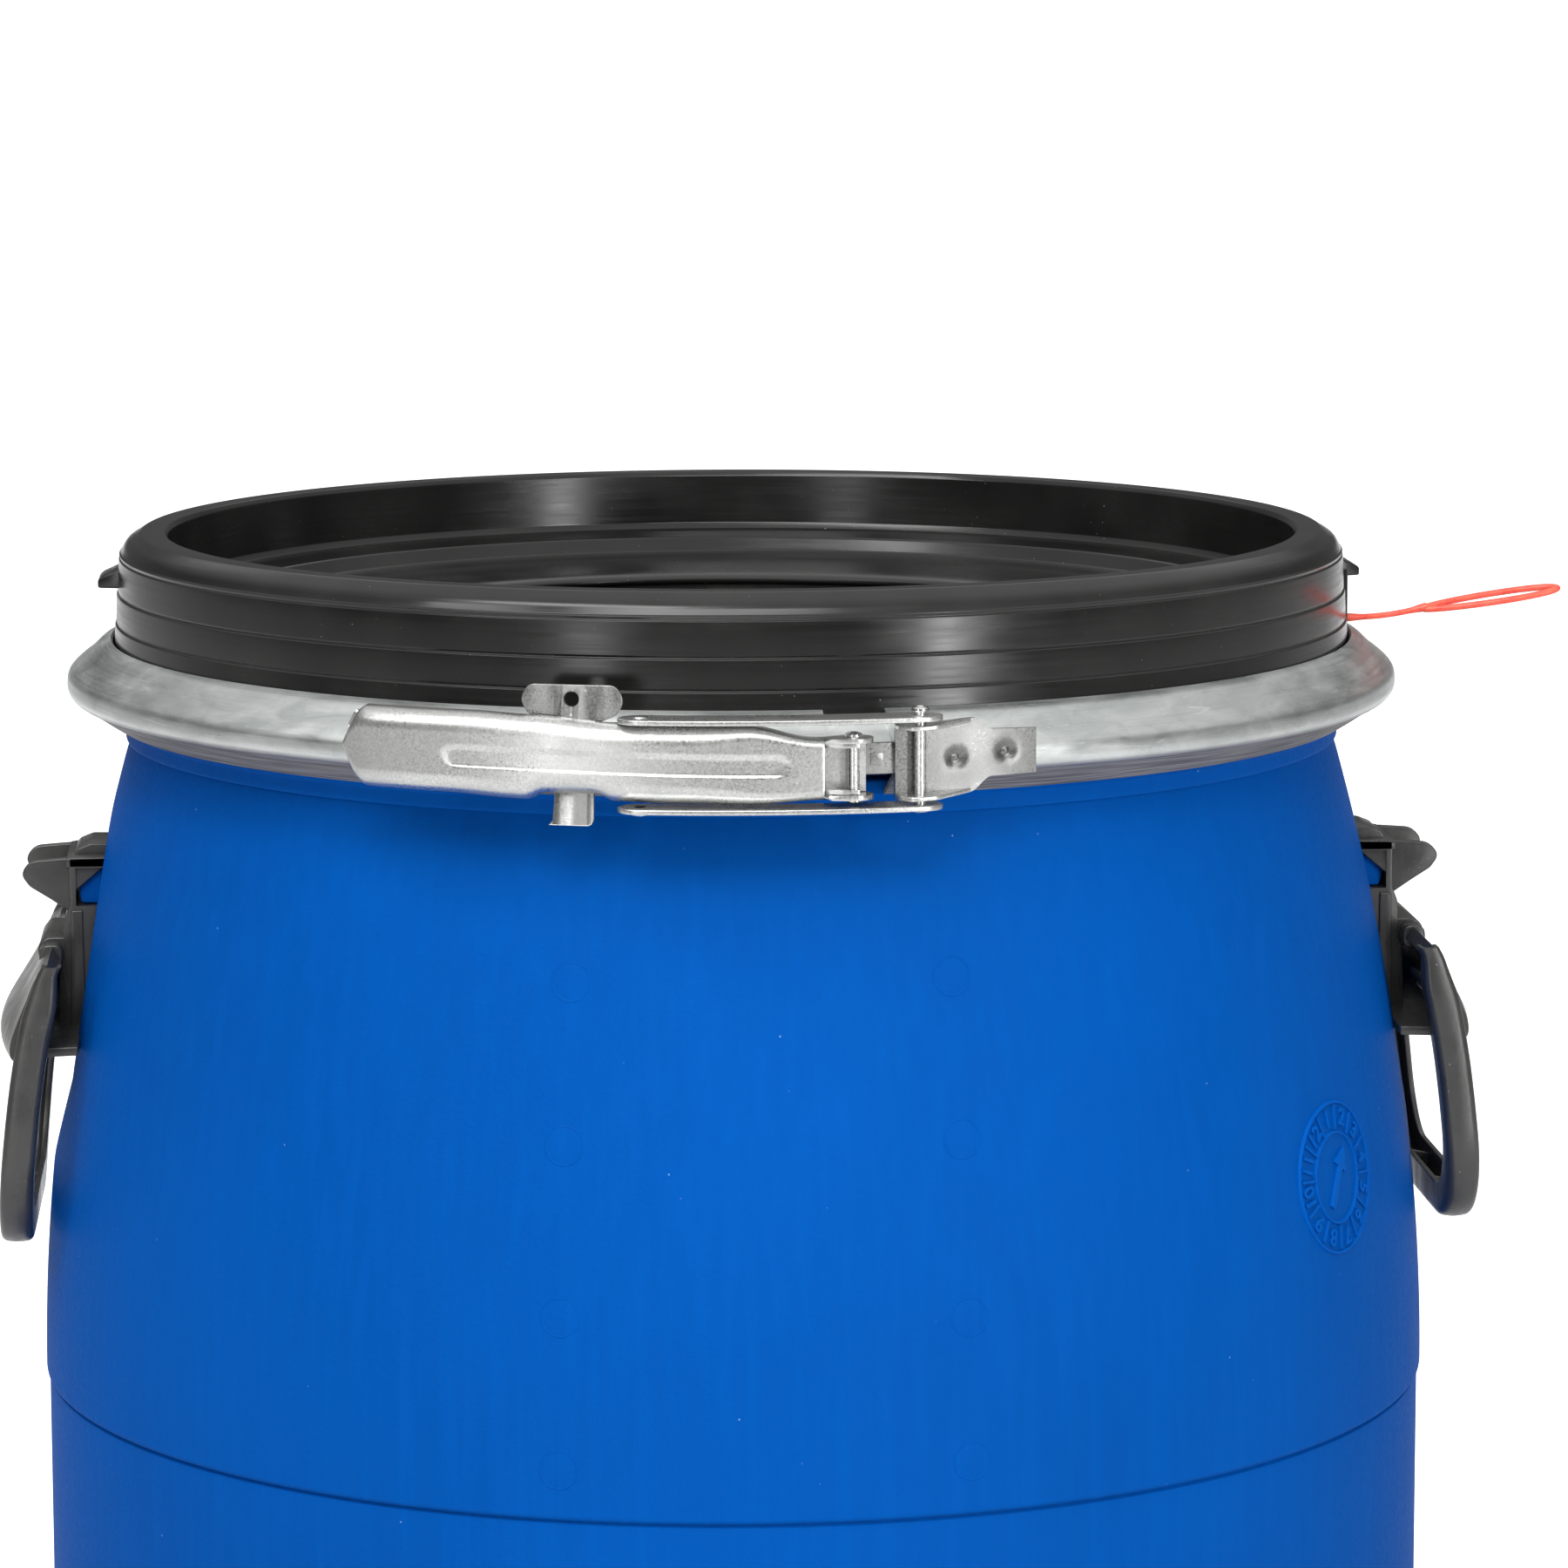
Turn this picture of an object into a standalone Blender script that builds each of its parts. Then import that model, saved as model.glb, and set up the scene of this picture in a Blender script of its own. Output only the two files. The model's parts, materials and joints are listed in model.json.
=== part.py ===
"""An open-head plastic drum with a plastic lid, a steel clamp ring and two drop handles.

Sizes are written in millimetres and turned into metres as each vertex is made.
The drum stands on z = 0 with its axis on Z. The clamp ring's closure faces -Y and the
handles are on +X and -X. An azimuth is an angle in degrees from -Y towards +X.
"""

import math

import bmesh
import bpy
from mathutils import Matrix, Vector

MM = 0.001
STEPS = 48                    # facets round a whole turned piece
GAP = 0.3                     # least distance between two neighbouring pieces

# Body
WALL = 3.0
BASE_R = 195.2                # just above the rounded bottom edge
BASE_EDGE = 12.0              # radius of the bottom edge
FOOT_R = (160.0, 183.2)       # the standing ring
PAD_R = 40.0                  # flat pad in the middle of the base
RECESS = 3.0                  # depth of the base between pad and standing ring
FLOOR_Z = 6.5                 # inside floor
PARTING_Z = 376.0             # where the mould's two halves meet, and the widest place
LOWER_R = 199.4               # just below the parting line
BELLY_R = 200.3               # just above it
SHOULDER_Z = (381.0, 558.6)   # the curve from belly to neck
SHOULDER_POWER = 1.8
NECK_R = 173.3
BEAD_R = 176.8                # bead under the lid's flange
BEAD_Z = (567.9, 574.4)
MOUTH_R = 171.3               # outside of the mouth's wall
MOUTH_Z = 613.2

# Lid
LID_TOP = 622.2
LID_WALL_R = 175.4
LID_FLANGE_R = 184.0
LID_EAR = (6.6, 20.0, 8.0)    # how far it stands out, its length and its height
LID_EAR_Z = 609.8

# Clamp ring
SHEET = 1.2                   # thickness of the ring's and the closure's sheet steel
RING_SECTION = [              # outside of the band, from the upper lip to the lower one
    (178.2, 592.0), (181.3, 590.5), (184.4, 587.6), (188.0, 584.8), (190.2, 582.4),
    (190.7, 579.9), (190.4, 574.4), (189.2, 572.0), (186.4, 569.8), (182.3, 567.6), (178.0, 566.0),
]
RING_GAP = (3.9, 9.2)         # azimuths of the band's two ends
RING_BACK = 180.0

# Closure: every pin is upright and stands on this circle
PIN_CIRCLE = 194.6
LEVER_PIN_AT = 5.6
ANCHOR_PIN_AT = 10.8
LINK_PIN_AT = -10.7
LEVER_END_AT = -34.2
PIN_R = 1.7
HOLE_R = 2.0
HEAD_R = 2.4
HEAD_H = 1.2
EYE_R = HOLE_R + SHEET / 2    # middle of a rolled eye's sheet
LEVER_Z = (570.2, 592.1)
EAR_Z = (571.6, 586.2)        # the lever where it narrows to its two ears
EAR_R = 3.7
LEVER_OUT_R = 198.8
LEVER_IN_R = 192.8
LINK_Z = (568.7, 593.7)       # middle heights of the lower and upper link
LINK_WIDTH = 8.6
LATCH_AT = -15.9
TAB_Z = (592.4, 600.2)
TAB_WIDTH = 26.0
HOOK_WIDTH = 10.5
HOOK_Z = 563.8

# Handles, drawn for the +X side
HINGE = (196.0, 503.2)        # radius and height of a grip's axis
AXLE_R = 2.6
KNUCKLE_R = 4.2
BRACKET_HALF = 16.6
BRACKET_OUT_R = 193.5
BRACKET_Z = (481.6, 529.6)
GRIP_HALF = 60.0
GRIP_TOP = 508.2
GRIP_BOTTOM = 427.4
GRIP_THICK = 9.0
GRIP_TILT = 5.9               # degrees from upright, the lower end standing out
LUG = (185.4, 9.0, 517.0, 526.0)   # the body's lug: outer radius, half width, lowest and highest z

# Tamper seal
SEAL_AT = 86.8
SEAL_R = 1.25
SEAL_START = (177.8, 594.2)
SEAL_SPLIT = (200.0, 597.0)
SEAL_TIP = (239.2, 602.8)
SEAL_HALF_WIDTH = 4.2


# ---------------------------------------------------------------- materials

def material(name, colour, roughness, metallic=0.0):
    made = bpy.data.materials.new(name)
    made.use_nodes = True
    shader = made.node_tree.nodes["Principled BSDF"]
    shader.inputs["Base Color"].default_value = (*colour, 1.0)
    shader.inputs["Roughness"].default_value = roughness
    shader.inputs["Metallic"].default_value = metallic
    return made


# ---------------------------------------------------------------- geometry helpers

def polar(radius, azimuth, z):
    a = math.radians(azimuth)
    return Vector((radius * math.sin(a), -radius * math.cos(a), z))


def beside(azimuth, across, out, z, radius=PIN_CIRCLE):
    """A point near the place at that azimuth: across runs towards +azimuth, out runs away from the axis."""
    a = math.radians(azimuth)
    right = Vector((math.cos(a), math.sin(a), 0.0))
    outward = Vector((math.sin(a), -math.cos(a), 0.0))
    return outward * (radius + out) + right * across + Vector((0.0, 0.0, z))


def arc(centre, radius, start, end, steps):
    """Points of an arc in a plane; angles in degrees."""
    found = []
    for i in range(steps + 1):
        a = math.radians(start + (end - start) * i / steps)
        found.append((centre[0] + radius * math.cos(a), centre[1] + radius * math.sin(a)))
    return found


def thicken(line, thickness):
    """The closed outline of a sheet: line is one side, and the other lies on its right-hand side."""
    other = []
    for i, point in enumerate(line):
        before = Vector(line[max(i - 1, 0)])
        after = Vector(line[min(i + 1, len(line) - 1)])
        along = (after - before).normalized()
        other.append((point[0] + along[1] * thickness, point[1] - along[0] * thickness))
    return list(line) + other[::-1]


def finished(name, bm, look, smooth=32.0):
    """Turns a bmesh in millimetres into a named object in metres, with its faces pointing out."""
    bmesh.ops.remove_doubles(bm, verts=bm.verts, dist=0.001)
    bmesh.ops.recalc_face_normals(bm, faces=bm.faces)
    bmesh.ops.scale(bm, vec=(MM, MM, MM), verts=bm.verts)
    mesh = bpy.data.meshes.new(name)
    bm.to_mesh(mesh)
    bm.free()
    mesh.shade_smooth()
    mesh.set_sharp_from_angle(angle=math.radians(smooth))
    mesh.materials.append(look)
    made = bpy.data.objects.new(name, mesh)
    bpy.context.scene.collection.objects.link(made)
    return made


def turned(name, outline, look, steps=STEPS, start=0.0, end=360.0):
    """Turns an outline of (radius, z) points about Z. An outline that starts and ends on the axis stays open there."""
    bm = bmesh.new()
    on_axis = outline[0][0] == 0.0
    line = [bm.verts.new(polar(r, start, z)) for r, z in outline]
    edges = [bm.edges.new(pair) for pair in zip(line, line[1:])]
    if not on_axis:
        edges.append(bm.edges.new((line[-1], line[0])))
    whole = end - start == 360.0
    bmesh.ops.spin(
        bm, geom=line + edges, axis=(0, 0, 1), cent=(0, 0, 0),
        angle=math.radians(end - start), steps=steps, use_merge=whole,
    )
    if not whole:
        bmesh.ops.holes_fill(bm, edges=[e for e in bm.edges if e.is_boundary])
    return finished(name, bm, look)


def lofted(name, rings, look, closed=False):
    """A solid skinned over rings of points, capped at both ends unless the last ring meets the first."""
    bm = bmesh.new()
    loops = [[bm.verts.new(p) for p in ring] for ring in rings]
    pairs = list(zip(loops, loops[1:]))
    if closed:
        pairs.append((loops[-1], loops[0]))
    for one, two in pairs:
        for i in range(len(one)):
            j = (i + 1) % len(one)
            bm.faces.new((one[i], one[j], two[j], two[i]))
    if not closed:
        bm.faces.new(loops[0])
        bm.faces.new(loops[-1])
    return finished(name, bm, look)


def upright(name, outline, z_low, z_high, look):
    """A prism with an upright axis over an outline of (x, y) points."""
    rings = [[Vector((x, y, z)) for x, y in outline] for z in (z_low, z_high)]
    return lofted(name, rings, look)


def cylinder(name, centre, radius, z_low, z_high, look, sides=12):
    outline = arc((centre[0], centre[1]), radius, 0.0, 360.0 - 360.0 / sides, sides - 1)
    return upright(name, outline, z_low, z_high, look)


def wrapped(name, outline, r_low, r_high, azimuth, look, bend=None):
    """A curved plate: outline is (distance round the drum, z), and bend gives a radial shift for a height."""
    rings = []
    for radius in (r_low, r_high):
        ring = []
        for across, z in outline:
            shift = bend(z) if bend else 0.0
            ring.append(polar(radius + shift, azimuth + math.degrees(across / PIN_CIRCLE), z))
        rings.append(ring)
    return lofted(name, rings, look)


def boolean(target, operation, tool):
    """Cuts or joins with another object, which is then removed."""
    modifier = target.modifiers.new(operation.title(), "BOOLEAN")
    modifier.operation = operation
    modifier.object = tool
    depsgraph = bpy.context.evaluated_depsgraph_get()
    result = bpy.data.meshes.new_from_object(target.evaluated_get(depsgraph))
    target.modifiers.clear()
    old = target.data
    result.name = old.name
    target.data = result
    bpy.data.meshes.remove(old)
    bpy.data.objects.remove(tool)
    return target


def cut(target, tool):
    return boolean(target, "DIFFERENCE", tool)


def join(target, tool):
    return boolean(target, "UNION", tool)


# ---------------------------------------------------------------- body and lid

def shoulder_radius(z):
    low, high = SHOULDER_Z
    t = max(0.0, (z - low) / (high - low))
    return BELLY_R - (BELLY_R - NECK_R) * t ** SHOULDER_POWER


def shoulder_points(steps, inset=0.0):
    low, high = SHOULDER_Z
    heights = [low + (high - low) * i / steps for i in range(steps + 1)]
    return [(shoulder_radius(z) - inset, z) for z in heights]


def body_outside():
    """The drum's outer side from the middle of the base up to the neck."""
    points = [(0.0, 0.0), (PAD_R, 0.0), (PAD_R + 5.0, RECESS), (FOOT_R[0] - 5.0, RECESS)]
    points += [(FOOT_R[0], 0.0)]
    points += arc((FOOT_R[1], BASE_EDGE), BASE_EDGE, -90.0, 0.0, 4)
    points += [(LOWER_R, PARTING_Z - 0.4), (BELLY_R, PARTING_Z + 0.4)]
    points += shoulder_points(8)
    points += [(NECK_R, BEAD_Z[0] - 1.5)]
    return points


def body_mouth():
    """The bead and the mouth's wall, which rises inside the lid's channel."""
    low, high = BEAD_Z
    return [
        (NECK_R + 0.7, low - 0.2), (BEAD_R, low + 1.3), (BEAD_R, high - 1.3), (BEAD_R - 3.5, high),
        (MOUTH_R, high + 0.2), (MOUTH_R, MOUTH_Z - 0.9), (MOUTH_R - 0.8, MOUTH_Z),
        (MOUTH_R - WALL + 0.8, MOUTH_Z), (MOUTH_R - WALL, MOUTH_Z - 0.9),
    ]


def body_inside():
    """The drum's inner side from the mouth down to the middle of the floor."""
    points = [(MOUTH_R - WALL, SHOULDER_Z[1] + 8.0)]
    points += shoulder_points(5, WALL)[::-1]
    points += [(LOWER_R - WALL, PARTING_Z - 6.0)]
    corner = BASE_EDGE - WALL
    points += arc((BASE_R - WALL - corner, FLOOR_Z + corner), corner, 0.0, -90.0, 3)
    return points + [(0.0, FLOOR_Z)]


def handle_lug(side, look, extra=0.0):
    """The block on the body that a handle's bracket is clipped over."""
    out, half, low, high = LUG
    across = [-half - extra, half + extra]
    tall = (low - extra, high + extra)
    outline = [(180.0, across[0]), (out + extra, across[0]), (out + extra, across[1]), (180.0, across[1])]
    made = upright("lug", [(x * side, y * side) for x, y in outline], *tall, look)
    return made


def drum_body(look):
    made = turned("drum_body", body_outside() + body_mouth() + body_inside(), look)
    for side in (1, -1):
        join(made, handle_lug(side, look))
    return made


def lid_outline():
    top = LID_TOP
    wall = LID_WALL_R
    outer = [
        (173.2, 574.9), (LID_FLANGE_R, 575.2), (LID_FLANGE_R, 582.0), (177.6, 588.2),
        (177.0, 591.4), (176.9, 596.8), (wall + 0.8, 597.3), (wall + 0.6, 605.6), (wall, 606.1),
        (wall - 0.2, 616.0), (wall - 1.2, 618.6), (wall - 3.2, 621.0), (169.8, top - 0.2),
        (163.8, top), (162.0, top - 1.2), (161.4, top - 4.0),
    ]
    panel = [
        (161.0, 610.4), (160.0, 609.4), (150.8, 607.0), (147.8, 605.2), (146.4, 601.8),
        (145.2, 596.4), (143.3, 594.2), (139.8, 593.4),
    ]
    under = [
        (140.4, 590.4), (145.4, 591.8), (148.0, 595.0), (149.4, 601.4), (150.4, 603.2),
        (152.2, 604.2), (162.0, 606.6), (163.6, 608.4), (164.0, 616.8), (165.2, 618.6),
        (169.8, 619.0), (171.8, 617.6), (172.7, 614.9), (172.9, 591.4),
    ]
    return [(0.0, 593.4)] + panel[::-1] + outer[::-1] + under[::-1] + [(0.0, 590.4)]


def lid(look):
    made = turned("lid", lid_outline(), look)
    out, length, height = LID_EAR
    for side in (1, -1):
        half = length / 2.0
        plan = arc((LID_WALL_R - 2.0, 0.0), out + 2.0, -90.0, 90.0, 8)
        outline = [(x, y * half / (out + 2.0)) for x, y in plan]
        ear = upright("ear", [(x * side, y * side) for x, y in outline], LID_EAR_Z - height / 2.0,
                      LID_EAR_Z + height / 2.0, look)
        join(made, ear)
    return made


def lid_gasket(look):
    outline = [
        (166.0, 613.7), (170.2, 613.7), (171.2, 614.6), (171.2, 616.4), (169.8, 618.1),
        (166.2, 618.1), (164.9, 616.4), (164.9, 614.8),
    ]
    return turned("lid_gasket", outline, look)


# ---------------------------------------------------------------- clamp ring

def ring_band(name, start, end, look):
    outline = thicken(RING_SECTION, SHEET)
    return turned(name, outline, look, steps=STEPS // 2, start=start, end=end)


def ring_tongue(look):
    """The flat strip that bridges the gap between the band's ends, fixed inside the left one."""
    outline = []
    left, right = -20.0, 38.0
    steps = 12
    for i in range(steps + 1):
        outline.append((left + (right - left) * i / steps, 575.3))
    for i in range(steps + 1):
        outline.append((right + (left - right) * i / steps, 583.1))
    return wrapped("ring_tongue", outline, 186.3, 187.3, 0.0, look)


def rolled_bracket(name, azimuth, side, reach, curl, z_low, z_high, look):
    """A plate on the band that runs up to a pin and is rolled round it. side is +1 if the plate is on the right."""
    plate = [(side * reach, -EYE_R), (side * reach / 2.0, -EYE_R)]
    roll = arc((0.0, 0.0), EYE_R, -90.0, -90.0 - side * curl, 16)
    line = plate + roll
    half = SHEET / 2.0
    outer, inner = [], []
    for i, point in enumerate(line):
        before = Vector(line[max(i - 1, 0)])
        after = Vector(line[min(i + 1, len(line) - 1)])
        along = (after - before).normalized()
        normal = Vector((along[1], -along[0])) * half
        outer.append(Vector(point) + normal)
        inner.append(Vector(point) - normal)
    outline = outer + inner[::-1]
    rings = [[beside(azimuth, x, y, z) for x, y in outline] for z in (z_low, z_high)]
    return lofted(name, rings, look)


def anchor_bracket(look):
    """The bracket on the band's right end: full height at the eye, then stepped in to a narrow plate."""
    made = rolled_bracket("anchor_bracket", ANCHOR_PIN_AT, 1, 31.0, 200.0, 570.8, 591.6, look)
    for low, high in ((560.0, 575.6), (587.0, 600.0)):
        step = [beside(ANCHOR_PIN_AT, x, y, 0.0) for x, y in ((15.5, -8.0), (40.0, -8.0), (40.0, 8.0), (19.0, 8.0))]
        cut(made, upright("step", [(p.x, p.y) for p in step], low, high, look))
    return made


def latch_plate(look):
    """A strap behind the lever with the seal's tab above it and the lever's catch below it."""
    half_tab, half_hook = TAB_WIDTH / 2.0, HOOK_WIDTH / 2.0
    low, high = TAB_Z
    middle = (low + high) / 2.0
    radius = (high - low) / 2.0
    right = arc((half_tab - radius, middle), radius, -90.0, 90.0, 6)
    left = arc((-half_tab + radius, middle), radius, 90.0, 270.0, 6)
    outline = [(half_hook, HOOK_Z), (half_hook, 567.4), (half_hook, low - 3.0), (half_hook + 3.0, low)]
    outline += right + left
    outline += [(-half_hook - 3.0, low), (-half_hook, low - 3.0), (-half_hook, 567.4), (-half_hook, HOOK_Z)]

    def flare(z):
        return max(0.0, 567.4 - z) * 0.9

    made = wrapped("latch_plate", outline, 191.0, 191.0 + SHEET, LATCH_AT, look, flare)
    hole = cylinder("hole", polar(0.0, 0.0, 0.0), 2.05, -10.0, 10.0, look, 16)
    turn = Matrix.Rotation(math.radians(90.0), 4, "X")
    hole.data.transform(turn)
    hole.data.transform(Matrix.Translation(Vector((0.0, -PIN_CIRCLE * MM, (middle + 0.5) * MM))))
    hole.data.transform(Matrix.Rotation(math.radians(LATCH_AT), 4, "Z"))
    return cut(made, hole)


def lever_section(azimuth, z_low, z_high, r_in, r_out):
    """The lever's channel at one azimuth: a rounded web outside and a flat wall above and below."""
    t = SHEET
    soft = 1.6
    pairs = [
        (r_in, z_high), (r_out - soft, z_high), (r_out - soft * 0.3, z_high - soft * 0.3),
        (r_out, z_high - soft), (r_out, z_low + soft), (r_out - soft * 0.3, z_low + soft * 0.3),
        (r_out - soft, z_low), (r_in, z_low), (r_in, z_low + t), (r_out - t - 0.5, z_low + t),
        (r_out - t, z_low + t + 0.5), (r_out - t, z_high - t - 0.5), (r_out - t - 0.5, z_high - t),
        (r_in, z_high - t),
    ]
    return [polar(r, azimuth, z) for r, z in pairs]


def closure_lever(look):
    """A channel that lies along the band, rounded at its free end and narrowed to two ears at its pin."""
    low, high = LEVER_Z
    free = [(0.0, 7.0), (0.4, 4.2), (1.0, 2.3), (1.8, 0.9), (2.8, 0.0)]
    rings = []
    for step, inset in free:
        rings.append(lever_section(LEVER_END_AT + step, low + inset, high - inset, LEVER_IN_R, LEVER_OUT_R - inset * 0.1))
    start = LEVER_END_AT + free[-1][0]
    straight_end, narrow_end, last = -4.5, 2.2, LEVER_PIN_AT
    for i in range(1, 10):
        rings.append(lever_section(start + (straight_end - start) * i / 9.0, low, high, LEVER_IN_R, LEVER_OUT_R))
    for i in range(1, 5):
        t = i / 4.0
        ease = t * t * (3.0 - 2.0 * t)
        azimuth = straight_end + (narrow_end - straight_end) * t
        rings.append(lever_section(azimuth, low + (EAR_Z[0] - low) * ease, high + (EAR_Z[1] - high) * ease,
                                   LEVER_IN_R - 0.9 * ease, LEVER_OUT_R - 0.5 * ease))
    rings.append(lever_section(last, *EAR_Z, LEVER_IN_R - 0.9, LEVER_OUT_R - 0.5))
    made = lofted("closure_lever", rings, look)
    pin = beside(LEVER_PIN_AT, 0.0, 0.0, 0.0)
    inner = (EAR_Z[0] + SHEET, EAR_Z[1] - SHEET)
    join(made, cylinder("ear_disc", pin, EAR_R, EAR_Z[0], EAR_Z[1], look, 24))
    room = [beside(LEVER_PIN_AT, x, y, 0.0) for x, y in ((-6.4, -9.0), (9.0, -9.0), (9.0, 9.0), (-6.4, 9.0))]
    cut(made, upright("room", [(p.x, p.y) for p in room], *inner, look))
    cut(made, cylinder("hole", pin, HOLE_R, 560.0, 600.0, look))
    notch = [polar(r, LATCH_AT + a, 0.0) for r, a in ((180.0, -2.1), (210.0, -2.1), (210.0, 2.1), (180.0, 2.1))]
    return cut(made, upright("notch", [(p.x, p.y) for p in notch], 560.0, LEVER_Z[0] + 1.9, look))


def link(name, z_middle, look):
    """A curved strip with round ends, from the anchor pin to the lever's rivet."""
    half = LINK_WIDTH / 2.0
    outline = []
    for turn in range(9):
        a = math.radians(-90.0 + 180.0 * turn / 8.0)
        outline.append(beside(ANCHOR_PIN_AT, half * math.cos(a), half * math.sin(a), 0.0))
    for i in range(11):
        azimuth = ANCHOR_PIN_AT + (LINK_PIN_AT - ANCHOR_PIN_AT) * i / 10.0
        outline.append(polar(PIN_CIRCLE + half, azimuth, 0.0))
    for turn in range(1, 8):
        a = math.radians(90.0 + 180.0 * turn / 8.0)
        outline.append(beside(LINK_PIN_AT, half * math.cos(a), half * math.sin(a), 0.0))
    for i in range(11):
        azimuth = LINK_PIN_AT + (ANCHOR_PIN_AT - LINK_PIN_AT) * i / 10.0
        outline.append(polar(PIN_CIRCLE - half, azimuth, 0.0))
    thickness = 1.4
    made = upright(name, [(p.x, p.y) for p in outline], z_middle - thickness / 2.0, z_middle + thickness / 2.0, look)
    for azimuth in (ANCHOR_PIN_AT, LINK_PIN_AT):
        cut(made, cylinder("hole", polar(PIN_CIRCLE, azimuth, 0.0), HOLE_R, 550.0, 610.0, look))
    return made


def headed_pin(name, azimuth, z_low, z_high, heads, look):
    """A pin between two heights, which are its heads' inner faces. heads says which ends have one: -1, +1 or both."""
    place = polar(PIN_CIRCLE, azimuth, 0.0)
    low = z_low - 0.5 * HEAD_H if -1 in heads else z_low
    high = z_high + 0.5 * HEAD_H if 1 in heads else z_high
    made = cylinder(name, place, PIN_R, low, high, look)
    if -1 in heads:
        join(made, cylinder("head", place, HEAD_R, z_low - HEAD_H, z_low, look))
    if 1 in heads:
        join(made, cylinder("head", place, HEAD_R, z_high, z_high + HEAD_H, look))
    return made


def clamp_ring(look, pin_look):
    ring_band("ring_band_left", -RING_BACK + 0.15, RING_GAP[0], look)
    ring_band("ring_band_right", RING_GAP[1], RING_BACK - 0.15, look)
    ring_tongue(look)
    rolled_bracket("lever_bracket", LEVER_PIN_AT, -1, 30.0, 285.0, EAR_Z[0] + SHEET + GAP,
                   EAR_Z[1] - SHEET - GAP, look)
    anchor_bracket(look)
    latch_plate(look)
    closure_lever(look)
    link("lower_link", LINK_Z[0], look)
    link("upper_link", LINK_Z[1], look)
    edge = 0.7 + GAP
    headed_pin("lever_pivot_pin", LEVER_PIN_AT, EAR_Z[0] - GAP, EAR_Z[1] + GAP, (-1, 1), pin_look)
    headed_pin("anchor_pin", ANCHOR_PIN_AT, LINK_Z[0] - edge, LINK_Z[1] + edge, (-1, 1), pin_look)
    headed_pin("link_rivet_upper", LINK_PIN_AT, LEVER_Z[1] + GAP, LINK_Z[1] + edge, (1,), pin_look)
    headed_pin("link_rivet_lower", LINK_PIN_AT, LINK_Z[0] - edge, LEVER_Z[0] - GAP, (-1,), pin_look)


# ---------------------------------------------------------------- handles

def along_y(name, outline, y_low, y_high, look):
    """A prism along Y over an outline of (x, z) points."""
    rings = [[Vector((x, y, z)) for x, z in outline] for y in (y_low, y_high)]
    return lofted(name, rings, look)


def disc(name, centre, radius, y_low, y_high, look, sides=12):
    outline = arc(centre, radius, 0.0, 360.0 - 360.0 / sides, sides - 1)
    return along_y(name, outline, y_low, y_high, look)


def clear_of_body(look):
    """The body's outer side, grown by the gap, as a tool that shapes the back of a bracket."""
    low, high = 420.0, 550.0
    steps = 8
    heights = [low + (high - low) * i / steps for i in range(steps + 1)]
    outline = [(0.0, low)] + [(shoulder_radius(z) + GAP, z) for z in heights] + [(0.0, high)]
    return turned("clear_of_body", outline, look)


def handle_bracket(name, look):
    """The clip on the body, with a hump, two wings that stop the grip, and the knuckles that carry its axle."""
    low, high = BRACKET_Z
    block = [(174.0, low), (BRACKET_OUT_R, low), (BRACKET_OUT_R, 515.5), (188.8, high - 1.0), (174.0, high - 1.0)]
    made = along_y(name, block, -BRACKET_HALF, BRACKET_HALF, look)
    hump = arc((183.6, high + 2.2), 4.8, 0.0, 180.0, 6)
    hump = [(175.0, high - 2.0), (188.4, high - 2.0)] + hump
    join(made, along_y("hump", hump, -11.0, 11.0, look))
    wing = [(174.0, high - 4.0), (174.0, high), (192.5, high + 1.0), (199.5, high - 0.2)]
    wing += arc((201.0, 525.6), 2.8, 60.0, -50.0, 4) + [(193.0, 515.0), (188.0, 515.0)]
    for y in (-15.6, 12.6):
        join(made, along_y("wing", wing, y, y + 3.0, look))
    x, z = HINGE
    knuckle = [(x - 6.0, z - KNUCKLE_R)] + arc((x, z), KNUCKLE_R, -90.0, 90.0, 8) + [(x - 6.0, z + KNUCKLE_R)]
    join(made, along_y("knuckle", knuckle, -BRACKET_HALF + 0.2, BRACKET_HALF - 0.2, look))
    cut(made, disc("bore", (x, z), AXLE_R + GAP, -30.0, 30.0, look))
    cut(made, handle_lug(1, look, GAP))
    window = [(176.0, 516.0), (186.3, 516.0), (186.3, 527.4), (176.0, 527.4)]
    cut(made, along_y("window", window, -30.0, 30.0, look))
    return cut(made, clear_of_body(look))


def rounded_frame(half, low, high, corner, steps=5):
    """An outline in (y, z): a rectangle with its lower corners rounded wide and its upper ones slightly."""
    small = 4.0
    points = arc((half - small, high - small), small, 90.0, 0.0, 2)
    points += arc((half - corner, low + corner), corner, 0.0, -90.0, steps)
    points += arc((-half + corner, low + corner), corner, -90.0, -180.0, steps)
    points += arc((-half + small, high - small), small, 180.0, 90.0, 2)
    return points


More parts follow.
